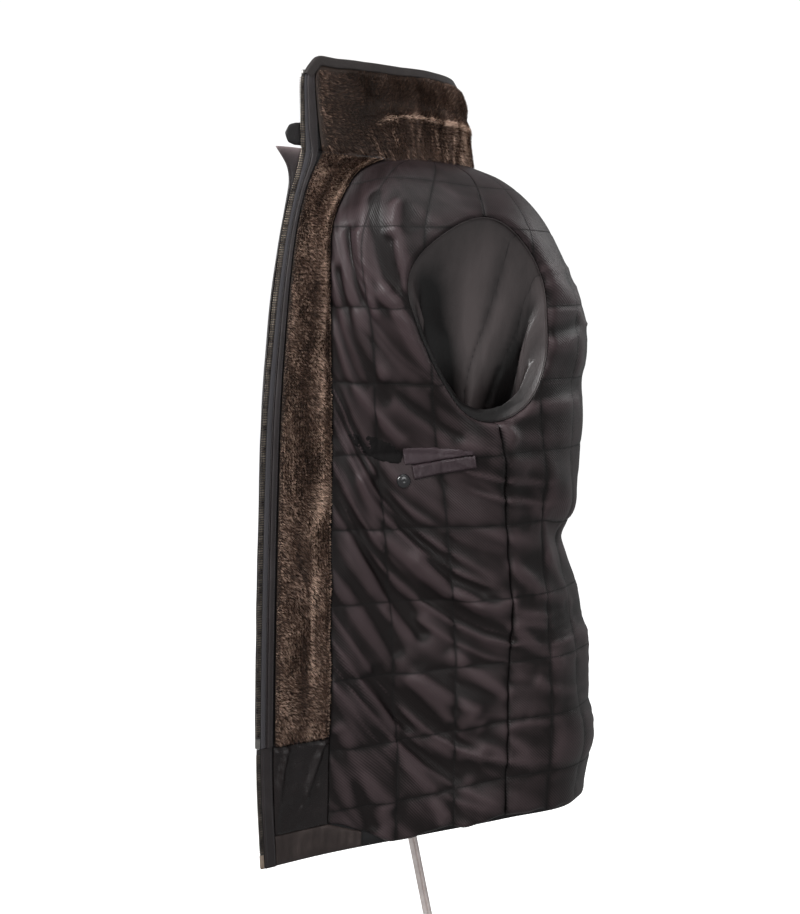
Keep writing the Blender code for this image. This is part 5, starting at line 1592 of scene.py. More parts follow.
    def leather(self, side: Side, hole: Armhole, wall_x: Array, turns: Array, count: int) -> None:
        """The leather tube round the lining, its grain towards the coat's hollow, with a few soft buckles."""
        name = "sleeve_leather_" + side.label
        outer, reads = self.tube(hole, wall_x, turns, count, GAP + SLEEVE_LEATHER, 0.0026)
        inner, _ = self.tube(hole, wall_x, turns, count, GAP, 0.0026)
        buckle = SmoothNoise(38 + side.value)
        relief = 0.0011 * buckle(turns[None] * 3.0 + reads[:, None], reads[:, None] * 3.2)
        relief += 0.0006 * buckle(turns[None] * 9.0, reads[:, None] * 6.0 + 9)
        relief *= np.clip((reads - 1.0) / 0.8, 0, 1)[:, None] * np.clip((reads[-1] - reads) / 0.3, 0, 1)[:, None]
        away = unit(outer - outer.mean(axis=1, keepdims=True))
        outer = outer + away * np.clip(relief, -0.0004, 0.0020)[..., None]
        tube = make_wall(name, outer, inner, wrap=True)
        dress(tube, self.finishes.shell, "leather", name)
        declare_cloth(tube, 0.54, 0.72, ["shell_back"])


@dataclass
class FurPile:
    """Strands of short fur over a dark skin; their tips draw together in small clumps."""

    finishes: Finishes
    width: float = 0.00062    # of one strand
    clump: float = 0.0036     # from one clump to the next
    gather: float = 0.34      # share of the way that a tip leans to its clump's middle

    def to_clump(self, spot: Array, seed: int) -> Array:
        """(n, 2) way from each spot to its clump's middle: clumps are a square grid, each shifted at random."""
        cell = np.floor(spot / self.clump).astype(int)
        shift = np.random.default_rng(SEED + seed).uniform(0.15, 0.85, (97, 97, 2))
        return (cell + shift[cell[:, 0] % 97, cell[:, 1] % 97]) * self.clump - spot

    def strands(self, name: str, surface: SampledSurface, u: Array, v: Array, spot: Array, reach: Array,
                lean: Array, shade: Array, seed: int) -> bpy.types.Object:
        """One bent blade of three triangles at each place.

        A blade rises along the surface's normal, first nearly upright and then over towards its lean, to which the
        way to its clump's middle is added.

        Args:
            name: The piece's name.
            surface: The skin's surface.
            u: (n,) places.
            v: (n,) places.
            spot: (n, 2) the same places in metres, across and up.
            reach: (n,) how high each tip stands over the surface.
            lean: (n, 2) sideways lean of each tip, across and up, in metres.
            shade: (n,) paleness of each blade's tip, 0 to 1: the pile's tone with painted light and shade.
            seed: Random seed.

        Returns:
            The joined strands.
        """
        draw = np.random.default_rng(SEED + seed)
        count = len(u)
        root, normal, up, over = surface.frame(u, v)
        pull = self.to_clump(spot, seed + 1)
        apart = np.linalg.norm(pull, axis=1) / (self.clump * 0.6)
        lean = lean + pull * self.gather + draw.normal(0, 0.0004, (count, 2))
        comb = over * lean[:, :1] + up * lean[:, 1:]
        tip = root + normal * reach[:, None] + comb
        bend = root + normal * (reach * 0.62)[:, None] + comb * 0.32
        spin = unit(np.cross(draw.normal(size=(count, 3)), normal))
        half = spin * (self.width * draw.uniform(0.6, 1.3, count) / 2)[:, None]
        low = root + normal * 0.0008
        points = np.stack([low - half, low + half, bend + half * 0.9, bend - half * 0.9, tip], axis=1)
        start = np.arange(count)[:, None] * 5
        faces = np.concatenate([start + np.array([[0, 1, 2]]), start + np.array([[0, 2, 3]]),
                                start + np.array([[3, 2, 4]])])
        obj = add_object(name, points.reshape(-1, 3), faces)
        # Painted shade in the partings: blades far from their clump's middle are darker.
        paleness = np.clip(shade - 0.22 * apart**2 + draw.normal(0, 0.15, count), 0, 1)
        set_value(obj, "tip", np.tile([0.0, 0.0, 0.62, 0.62, 1.0], count), faces)
        set_value(obj, "shade", np.repeat(paleness, 5), faces)
        return obj

    @staticmethod
    def skin(name: str, surface: Surface, normals_of: Surface, columns: Array, rows: Array, high: float,
             low: float) -> bpy.types.Object:
        """A wall under the strands, its upper face near their roots' height."""
        u, v = spread(columns, rows)
        base, normal = surface(u, v), normals_of(u, v)
        obj = make_wall(name, base + normal * high, base + normal * low)
        for layer, value in (("tip", 0.45), ("shade", 0.3)):
            values = np.full(len(obj.data.vertices), value, np.float32)
            obj.data.attributes.new(layer, "FLOAT", "POINT").data.foreach_set("value", values)
        return obj


@dataclass
class Facings:
    """Fur facings, the lower leather facings and the hem bands of both fronts."""

    form: CoatForm
    finishes: Finishes
    strands_right: int = 62000
    strands_left: int = 26000

    def build(self) -> None:
        """Builds both fronts' facings."""
        for side in Side:
            self.fur(side)
            self.lower(side)
            self.hem_band(side)

    def side_u(self, side: Side, u: Array) -> Array:
        """A value of u on this side's half."""
        return u if side is Side.RIGHT else LAP - u

    def pile_height(self, u: Array, w: Array) -> Array:
        """Height of the pile: full inside, rounded down to the seams beside it and at its lower end."""
        side_u = self.form.right_side(u)
        edge = np.minimum(side_u - FACING_START, FACING_SEAM - side_u) * METRES_ON_FACING
        foot = w - FUR_BOTTOM
        return FUR_PILE * (0.55 + 0.45 * np.sqrt(np.clip(edge / 0.010, 0, 1))) * np.sqrt(np.clip(foot / 0.004, 0.3, 1))

    def fur(self, side: Side) -> None:
        """Skin and strands of one fur facing."""
        name = "facing_fur_" + side.label
        pile = FurPile(self.finishes)
        inset = 0.0018 / METRES_ON_FACING
        low, high = FACING_START + inset, FACING_SEAM - inset
        columns = np.sort(self.side_u(side, np.linspace(low, high, 14)))
        rows = steps(FUR_BOTTOM + 0.0016, NECK_LEVEL - 0.0004, 0.012)
        skin = pile.skin(name, self.form.points, self.form.normals, columns, rows, 0.0030, 2 * GAP)
        dress(skin, self.finishes.skin, "fur", name)
        count = self.strands_right if side is Side.RIGHT else self.strands_left
        draw = np.random.default_rng(SEED + 41 + side.value)
        share, w = draw.uniform(0, 1, count), draw.uniform(FUR_BOTTOM + 0.002, NECK_LEVEL - 0.0006, count)
        u = self.side_u(side, low + share * (high - low))
        surface = SampledSurface(self.form.points, self.form.normals, (columns[0], columns[-1]),
                                 (FUR_BOTTOM, NECK_LEVEL), 24, 260)
        across = share * FACING_WIDTH
        sway, lie = SmoothNoise(43), SmoothNoise(44)
        turn = 0.9 * sway(across / 0.026, w / 0.045) + 0.4 * sway(across / 0.009 + 7, w / 0.012)
        amount = 0.0016 + 0.0020 * (lie(across / 0.024, w / 0.050) * 0.5 + 0.5)
        lean = np.stack([amount * np.sin(turn * 1.6) * side.value, -amount * np.cos(turn)], -1)
        beside = np.minimum(share, 1 - share) * FACING_WIDTH
        lean *= np.clip(beside / 0.006, 0.1, 1)[:, None]
        lean[:, 0] += side.value * 0.0010 * (np.exp(-(share / 0.03)**2) * -1 + np.exp(-((1 - share) / 0.03)**2))
        reach = self.pile_height(u, w) * (1 - 0.14 * (lie(across / 0.013, w / 0.018) * 0.5 + 0.5))
        reach *= draw.uniform(0.84, 1.0, count)
        hair = pile.strands(name + "_pile", surface, u, w, np.stack([across, w], -1), reach, lean,
                            self.shade(share, w), 47 + side.value)
        dress(hair, self.finishes.fur, "fur")

    @staticmethod
    def shade(share: Array, w: Array) -> Array:
        """Paleness of the pile: a pale streak of painted light and a dark band of painted shade wander down it, mottled
        at two sizes in the pile's own tone.

        Each is a bell curve of the distance from a line whose share of the width is a slow noise of the height; the
        edge by the zip is paler, and so is the very edge by the lining.
        """
        drift, mottle = SmoothNoise(45), SmoothNoise(46)
        across = share * FACING_WIDTH
        dark_at = 0.44 + 0.13 * drift(w / 0.085, 0)
        dark_width = 0.12 * (0.75 + 0.5 * drift(w / 0.055, 9))
        pale_at = 0.76 + 0.10 * drift(w / 0.075, 21) - 0.10 * np.clip((0.80 - w) / 0.2, 0, 1)
        pale_width = 0.085 * (0.75 + 0.5 * drift(w / 0.045, 33))
        strength = 0.65 + 0.45 * drift(w / 0.060, 40)
        upper = np.clip((w - 1.02) / 0.08, 0, 1)
        shade = 0.46 + 0.10 * np.clip(1 - share / 0.3, 0, 1)
        shade -= 0.30 * np.exp(-((share - dark_at) / dark_width)**2) * (0.7 + 0.4 * drift(w / 0.050, 50))
        shade += 0.42 * np.exp(-((share - pale_at) / pale_width)**2) * strength * (1 + 0.8 * upper)
        shade -= 0.16 * np.exp(-((share - 0.90) / 0.035)**2)
        shade += 0.35 * np.clip((share - 0.965) / 0.015, 0, 1)
        shade += 0.12 * mottle(across / 0.015, w / 0.022) + 0.17 * mottle(across / 0.0042 + 9, w / 0.0050)
        return np.clip(shade, 0, 1)

    def lower(self, side: Side) -> None:
        """The smooth leather facing below the fur, pulled into a few diagonal creases."""
        name = "facing_leather_" + side.label
        columns = np.sort(self.side_u(side, np.linspace(FACING_START + 0.004, FACING_SEAM - 0.004, 40)))
        rows = steps(HEM_BAND_TOP + 0.0002, FUR_BOTTOM - 0.0002, 0.0024)
        u, w = spread(columns, rows)
        share = (self.form.right_side(u) - FACING_START) / (FACING_SEAM - FACING_START)
        slack = SmoothNoise(51 + side.value)
        ramp = (w - HEM_BAND_TOP) / (FUR_BOTTOM - HEM_BAND_TOP)
        crease = 0.0042 * np.exp(-((share - 0.05 - 0.20 * ramp**2) / 0.050)**2) * np.clip(ramp * 1.6, 0, 1)
        pull = 0.0044 * np.exp(-((share - 0.40 - 0.50 * ramp) / 0.055)**2) * np.clip(ramp * 1.8 - 0.2, 0, 1)
        turned = 0.0022 * np.exp(-((ramp - 0.93 - 0.03 * share) / 0.035)**2)
        pool = turned + 0.0012 * slack(share * 5 + ramp * 4, ramp * 7) + 0.0005 * slack(share * 17, ramp * 19 + 5)
        held = np.clip(np.minimum.reduce([share, 1 - share, ramp, 1 - ramp]) / 0.06, 0, 1)
        height = GAP + LEATHER * 0.8 + (crease + pull + pool + 0.0006) * held
        base, normal = self.form.points(u, w), self.form.normals(u, w)
        outer = base + normal * height[..., None]
        inner = base + normal * GAP
        wall = make_wall(name, outer, inner)
        dress(wall, self.finishes.glossy, "leather", name)
        declare_cloth(wall, 0.075, 0.105, ["shell_front_" + side.label])

    def hem_band(self, side: Side) -> None:
        """The leather band along the front hem, under the lining's sagging edge."""
        name = "hem_band_" + side.label
        columns = np.sort(self.side_u(side, np.linspace(FACING_START + 0.004, 1.5, 90)))
        shares = np.linspace(0, 1, 14)
        side_u = self.form.right_side(columns)
        top = np.where(side_u < FACING_SEAM, HEM_BAND_TOP, HEM_BAND_TOP + (HEM_LEVEL + LINING_LIP - HEM_BAND_TOP)
                       * np.clip(side_u - FACING_SEAM, 0, 1)) - 0.0006
        u = np.repeat(columns[None], len(shares), axis=0)
        w = HEM_LEVEL + 0.0003 + (top - HEM_LEVEL)[None] * shares[:, None]
        roll = np.sqrt(np.clip(np.minimum(shares, 1 - shares) / 0.12, 0.05, 1))[:, None]
        slack = 0.0007 * SmoothNoise(55)(side_u[None] * 16, shares[:, None] * 2)
        height = GAP + (LEATHER * 0.9 + slack) * roll
        base, normal = self.form.points(u, w), self.form.normals(u, w)
        wall = make_wall(name, base + normal * height[..., None], base + normal * GAP)
        dress(wall, self.finishes.hem, "leather", name)
        declare_cloth(wall, 0.12, 0.045, ["shell_front_" + side.label])


class EdgePath(NamedTuple):
    """A run along a front edge, from below up: its points, the way in across the cloth, and the way out."""

    points: Array
    across: Array
    out: Array

    @property
    def along(self) -> Array:
        """Length from the run's lower end to each point."""
        pieces = np.linalg.norm(np.diff(self.points, axis=0), axis=1)
        return np.concatenate([[0.0], np.cumsum(pieces)])

    def resampled(self, places: Array) -> "EdgePath":
        """The same run read at other lengths along it."""
        def read(values: Array) -> Array:
            """Reads x, y and z in straight lines between the run's points."""
            return np.stack([np.interp(places, self.along, values[:, k]) for k in range(3)], -1)
        return EdgePath(read(self.points), read(self.across), read(self.out))


@dataclass
class FrontEdges:
    """Leather bands, zip tapes, teeth and the metal at their ends, along both front edges."""

    form: CoatForm
    finishes: Finishes
    pitch: float = 0.00275
    stitch: float = 0.0031

    def build(self) -> None:
        """Builds both edges."""
        for side in Side:
            self.upper(side)
            self.lower(side)

    def path(self, side: Side, low: float, high: float, collar: Optional[tuple[float, float]] = None) -> EdgePath:
        """A run up the front edge from one level to another, and then up the collar's edge if asked."""
        edge, inward = (EDGE, FACING_START) if side is Side.RIGHT else (LAP - EDGE, LAP - FACING_START)
        parts = []
        runs = [(self.form.points, self.form.normals, steps(low, high, 0.004))] if high > low else []
        if collar:
            runs.append((self.form.collar, self.form.collar_normals, steps(*collar, 0.035)))
        for surface, normals, levels in runs:
            edges, inwards = np.full(len(levels), edge), np.full(len(levels), inward)
            parts.append((surface(edges, levels), surface(inwards, levels), normals((edges + inwards) / 2, levels)))
        point, within, out = (np.concatenate(values) for values in zip(*parts))
        across = within - point
        room = np.linalg.norm(across, axis=1, keepdims=True)
        across = across / room
        out = out - across * np.sum(out * across, axis=1, keepdims=True)
        narrow = np.minimum(1.0, room / (BAND_END + GAP))
        return EdgePath(point, across * narrow, unit(out))

    def strip(self, name: str, path: EdgePath, profile: Array, material: bpy.types.Material, slot: str,
              *nodes: str) -> bpy.types.Object:
        """A profile carried along a run, with a UV map of length along it and across it."""
        along = np.repeat(path.along[:, None], profile.shape[-2], axis=1)
        over = np.broadcast_to(profile[..., 0], along.shape)
        obj = profile_strip(name, path.points, path.across, path.out, profile,
                            {"strip": np.stack([along, over], -1)})
        return dress(obj, material, slot, *nodes)

    def upper(self, side: Side) -> None:
        """Band, tape, teeth and ends from the fur's foot to the collar's top."""
        label = side.label
        whole = self.path(side, FUR_BOTTOM + GAP, NECK_LEVEL, (0.035, 0.860))
        on_collar = np.clip((whole.along - whole.along[-1] + 0.098) / 0.03, 0, 1)[:, None, None]
        narrow = rounded_profile(BAND_START, BAND_END, 3 * GAP, BAND_HEIGHT, 0.0017, 6)
        wide = rounded_profile(BAND_START - 0.0045, BAND_END, 3 * GAP, BAND_HEIGHT, 0.0017, 6)
        band = narrow * (1 - on_collar) + wide * on_collar
        self.strip("front_band_" + label, whole, band, self.finishes.leather, "leather", "front_band_" + label)
        piping = rounded_profile(TAPE_END - 0.0014, TAPE_END + 0.0001, 3 * GAP, TAPE_HEIGHT + 0.0007, 0.0007, 3)
        self.strip("tape_piping_" + label, whole, piping, self.finishes.leather, "leather")
        tape = rounded_profile(TAPE_START, TAPE_END - 0.0016, 3 * GAP, TAPE_HEIGHT, 0.0004, 3)
        self.strip("zip_tape_" + label, whole, tape, self.finishes.tape, "leather", "zip_tape_" + label)
        cord = rounded_profile(CHAIN_OUT + 0.0009, TAPE_START + 0.0004, -0.0007, 0.0008, 0.0006, 3)
        self.strip("tape_cord_" + label, self.path(side, FUR_BOTTOM + GAP, NECK_LEVEL, (0.035, 0.850)), cord,
                   self.finishes.cord, "leather")
        chain = self.path(side, FUR_BOTTOM + 0.0140, NECK_LEVEL, (0.035, 0.800))
        self.teeth("zip_chain_" + label, chain, "zip_chain_" + label)
        self.end_block("zip_stop_" + label, self.path(side, 0, 0, (0.806, 0.845)), self.finishes.nickel)
        self.end_block("zip_pin_" + label, self.path(side, FUR_BOTTOM + 0.0008, FUR_BOTTOM + 0.0118),
                       self.finishes.nickel)
        self.stitches("band_stitches_" + label, whole, BAND_END - 0.0018, BAND_HEIGHT)
        self.stitches("tape_stitches_" + label, whole, TAPE_END - 0.0024, TAPE_HEIGHT)

    def lower(self, side: Side) -> None:
        """Band, teeth and pin of the coat's own zip, below the fur."""
        label = side.label
        run = self.path(side, HEM_LEVEL + GAP, FUR_BOTTOM - GAP)
        band = rounded_profile(TAPE_START, BAND_END, 2 * GAP, MAIN_BAND_HEIGHT, 0.0009, 5)
        self.strip("main_band_" + label, run, band, self.finishes.leather, "leather", "main_band_" + label)
        cord = rounded_profile(CHAIN_OUT + 0.0010, TAPE_START + 0.0004, -0.0008, 0.0009, 0.0006, 3)
        self.strip("main_cord_" + label, run, cord, self.finishes.cord, "leather")
        chain = self.path(side, HEM_LEVEL + 0.0185, FUR_BOTTOM - 0.004)
        self.teeth("main_zip_" + label, chain, "main_zip_" + label)
        self.end_block("main_pin_" + label, self.path(side, HEM_LEVEL + 0.0012, HEM_LEVEL + 0.0165),
                       self.finishes.brass)
        self.stitches("main_stitches_" + label, run, BAND_END - 0.0022, MAIN_BAND_HEIGHT)
        self.stitches("main_stitches_edge_" + label, run, TAPE_START + 0.0030, MAIN_BAND_HEIGHT)

    def teeth(self, name: str, path: EdgePath, node: str) -> None:
        """A row of zip teeth: each a clamp on the tape's edge, a narrower neck and a pointed head."""
        total = path.along[-1]
        places = np.arange(self.pitch / 2, total - self.pitch / 2, self.pitch)
        run = path.resampled(places)
        up = unit(np.gradient(run.points, axis=0))
        half = CHAIN_HALF
        sections = ((CHAIN_IN, 0.00052, half), (CHAIN_IN - 0.0020, 0.00078, half),
                    (CHAIN_IN - 0.0034, 0.00050, half * 0.82), (CHAIN_IN - 0.0046, 0.00074, half * 0.80),
                    (CHAIN_OUT + 0.0002, 0.00018, half * 0.35))
        shape = np.array([(x, y * sy, z * sz) for x, y, z in sections
                          for sy, sz in ((-1, -1), (1, -1), (1, 1), (-1, 1))])
        body = []
        for k in range(len(sections) - 1):
            for i in range(4):
                a, b = 4 * k + i, 4 * k + (i + 1) % 4
                body.append((a, b, b + 4, a + 4))
        last = 4 * (len(sections) - 1)
        body += [(3, 2, 1, 0), (last, last + 1, last + 2, last + 3)]
        obj = repeated(name, shape, np.array(body)[:, ::-1], run.points, unit(run.across), up, run.out)
        dress(obj, self.finishes.teeth, "zip_metal", node)

    def end_block(self, name: str, path: EdgePath, material: bpy.types.Material) -> None:
        """A small rounded metal block over the end of a row of teeth."""
        profile = rounded_profile(CHAIN_OUT + 0.0003, CHAIN_IN, -CHAIN_HALF, CHAIN_HALF + 0.0002, 0.0008, 5)
        self.strip(name, path, profile, material, "bright_metal", name)

    def stitches(self, name: str, path: EdgePath, across: float, high: float) -> None:
        """A row of sewing: each stitch a short flattened box sunk half into the leather."""
        places = np.arange(self.stitch, path.along[-1] - self.stitch, self.stitch)
        run = path.resampled(places)
        up = unit(np.gradient(run.points, axis=0))
        long, wide, tall = 0.0011, 0.00028, 0.00022
        corners = [(x, y, z) for y, s in ((-long, 0.55), (long, 0.55)) for x, z in
                   ((-wide * s, -tall * s), (wide * s, -tall * s), (wide * s, tall * s), (-wide * s, tall * s))]
        centre = [(x, 0.0, z) for x, z in ((-wide, -tall), (wide, -tall), (wide, tall), (-wide, tall))]
        shape = np.array(corners[:4] + centre + corners[4:])
        faces = [(3, 2, 1, 0), (8, 9, 10, 11)]
        for k in (0, 4):
            for i in range(4):
                a, b = k + i, k + (i + 1) % 4
                faces.append((a, b, b + 4, a + 4))
        centres = run.points + run.across * across + run.out * (high + 0.00002)
        obj = repeated(name, shape, np.array(faces)[:, ::-1], centres, unit(run.across), up, run.out, smooth=True)
        dress(obj, self.finishes.thread, "leather")


@dataclass
class Collar:
    """Leather side, fur side and binding of the standing collar, whose front corners are cut off aslant."""

    form: CoatForm
    finishes: Finishes
    strands: int = 54000
    fur_rows: tuple = (0.006, 0.900)
    metres_up: float = 0.112
    metres_round: float = 0.046   # for each unit of u, a mean along the collar
    # Its rim from the right front edge over the corner to the top edge, as (u, v); the left is the same mirrored.
    rim: tuple = ((0.010, .800), (0.045, .865), (0.110, .935), (0.180, .985), (0.300, 1.0))

    def build(self) -> None:
        """Builds the collar."""
        self.leather_side()
        self.fur_side()
        self.binding()

    def front(self, v: Array) -> Array:
        """u of the collar's front edge at each v: none below the cut corner, then in along the rim's table."""
        us, vs = np.array(self.rim).T
        return np.interp(v, vs, us - us[0])

    @staticmethod
    def top(u: Array) -> Array:
        """v of the collar's top edge as a share of the whole: it dips behind each front corner."""
        return np.interp(np.minimum(u, LAP - u), (0.0, 0.25, 0.6, 1.2, 2.2, 3.2, 7.0),
                         (1.0, .990, .945, .915, .912, .940, 1.0))

    def leather_side(self) -> None:
        """A leather wall whose outer face is the collar's own surface, its columns drawn in at the corners."""
        shares, rows = np.linspace(-1, 1, 128), np.linspace(0.0, 0.996, 20)
        share, v = spread(shares, rows)
        half = CENTRE_BACK - EDGE - 0.002 - self.front(v)
        u = CENTRE_BACK + share * half
        v = v * self.top(u)
        base, normal = self.form.collar(u, v), self.form.collar_normals(u, v)
        slack = 0.0008 * SmoothNoise(61)(u * 2.2, v * 4) * np.clip(np.minimum(v, 1 - v) * 6, 0, 1)
        wall = make_wall("collar_leather", base, base - normal * (LEATHER + 0.0002 + np.abs(slack))[..., None])
        dress(wall, self.finishes.shell, "leather", "collar_leather")
        declare_cloth(wall, 0.62, 0.115, ["shell_back"])

    @staticmethod
    def crest_at(side_u: Array) -> Array:
        """v of the crest where the pile above lies up and the pile below lies down."""
        return np.interp(side_u, (0.0, 0.5, 0.9, 1.4, 2.2, 3.4, 7.0), (0.10, 0.16, 0.30, 0.37, 0.385, 0.36, 0.40))

    def rise(self, u: Array, v: Array) -> Array:
        """The fur's height: rounded at its edges, with the crest and a hollow over it."""
        side_u = self.form.right_side(u)
        away = v - self.crest_at(side_u)
        crest = 0.26 * np.exp(-((away + 0.02) / 0.06)**2) - 0.26 * np.exp(-((away - 0.10) / 0.08)**2)
        crest *= np.clip((side_u - 0.5) / 0.7, 0, 1)
        low, high = (v - self.fur_rows[0]) / 0.03, (self.fur_rows[1] * self.top(u) - v) / 0.08
        ends = np.sqrt(np.clip(np.minimum(low + 0.5, high), 0.12, 1))
        sides = np.sqrt(np.clip((side_u - FACING_START) * METRES_ON_FACING / 0.008, 0.25, 1))
        return COLLAR_PILE * (0.74 + crest) * ends * sides

    def fur_side(self) -> None:
        """Skin and strands; the pile lies up over the crest and hangs down below it, over the neck seam."""
        pile = FurPile(self.finishes)
        start = FACING_START + 0.012
        columns = np.linspace(start, LAP - start, 150)
        skin = pile.skin("collar_fur", lambda u, v: self.form.collar(u, v * self.top(u)),
                         lambda u, v: self.form.collar_normals(u, v * self.top(u)), columns,
                         np.linspace(*self.fur_rows, 14), 0.0030, GAP)
        dress(skin, self.finishes.skin, "fur", "collar_fur")
        draw = np.random.default_rng(SEED + 63)
        seen = int(self.strands * 0.66)
        u = np.concatenate([draw.uniform(start, 6.2, seen), draw.uniform(6.2, LAP - start, self.strands - seen)])
        v = draw.uniform(*self.fur_rows, self.strands) * self.top(u)
        surface = SampledSurface(self.form.collar, self.form.collar_normals, (start, LAP - start), (0.0, 1.0), 500, 40)
        side_u = self.form.right_side(u)
        away = v - self.crest_at(side_u)
        sway, lie = SmoothNoise(64), SmoothNoise(65)
        turn = 0.7 * sway(u * 2.6, v * 3.2) + 0.3 * sway(u * 9 + 5, v * 12)
        amount = 0.0022 + 0.0022 * (lie(u * 3.0, v * 2.2) * 0.5 + 0.5)
        parted = np.tanh(away / 0.04) * np.clip((side_u - 0.5) / 0.6, 0, 1)
        upward = -np.cos(turn) * (1 - np.clip((side_u - 0.5) / 0.6, 0, 1)) + parted
        foot = np.clip((0.12 - v) / 0.10, 0, 1)
        lean = np.stack([amount * np.sin(turn * 1.7), amount * upward - 0.0030 * foot], -1)
        lean *= np.clip((self.fur_rows[1] - v) / 0.06, 0.1, 1)[:, None]
        reach = self.rise(u, v) * draw.uniform(0.84, 1.0, self.strands)
        spot = np.stack([u * self.metres_round, v * self.metres_up], -1)
        hair = pile.strands("collar_fur_pile", surface, u, v, spot, reach, lean, self.shade(u, v), 67)
        dress(hair, self.finishes.fur, "fur")

    def shade(self, u: Array, v: Array) -> Array:
        """Paleness of the pile: painted shade above the crest, a thin painted highlight along it, and long mottled
        streaks of painted light below it, where the pile turns up to the lamps.

        The column beside the front band is paler, and the far end where the collar turns away carries painted light.
        """
        side_u = self.form.right_side(u)
        mottle, streak = SmoothNoise(66), SmoothNoise(68)
        away = v - self.crest_at(side_u)
        on_crest = np.clip((side_u - 0.9) / 0.5, 0, 1)
        below = np.clip(-away / 0.04, 0, 1)
        column = np.exp(-((side_u - 0.30) / 0.10)**2)
        turning = np.clip((side_u - 3.1) / 1.2, 0, 1) * np.clip((7.0 - side_u) / 1.5, 0, 1)
        shade = 0.08 + 0.22 * column + 1.10 * on_crest * np.exp(-((away + 0.010) / 0.018)**2)
        lines = streak(u * self.metres_round / 0.0042, v * self.metres_up / 0.022)
        shade += below * (0.02 + 0.42 * lines) + 0.22 * turning + 0.26 * turning * below
        shade += 0.10 * mottle(u * 3.4, v * 5) + 0.13 * mottle(u * 11 + 3, v * 24)
        return np.clip(shade, 0, 1)

    def binding(self) -> None:
        """A leather binding folded over the collar's rim, from one front edge over both corners to the other."""
        table = np.array(self.rim)
        middle = np.linspace(0.45, LAP - 0.45, 110)
        route = np.concatenate([table, np.column_stack([middle, np.ones(110)]),
                                (table * (-1, 1) + (LAP, 0))[::-1]])
        reads = np.linspace(0, len(route) - 1, 280)
        place = smooth_through(np.arange(len(route)), route, reads)
        place[:, 1] *= self.top(place[:, 0])
        point, normal = self.form.collar(*place.T), self.form.collar_normals(*place.T)
        along = unit(np.gradient(point, axis=0))
        inward = unit(np.cross(along, normal))
        profile = rounded_profile(-0.0018, 0.0100, -0.0024, 0.0044, 0.0022, 6)
        slack = 1 + 0.04 * SmoothNoise(69)(reads * 0.35, 0)
        obj = profile_strip("collar_binding", point, inward * slack[:, None], normal, profile)
        dress(obj, self.finishes.binding, "leather", "collar_binding")


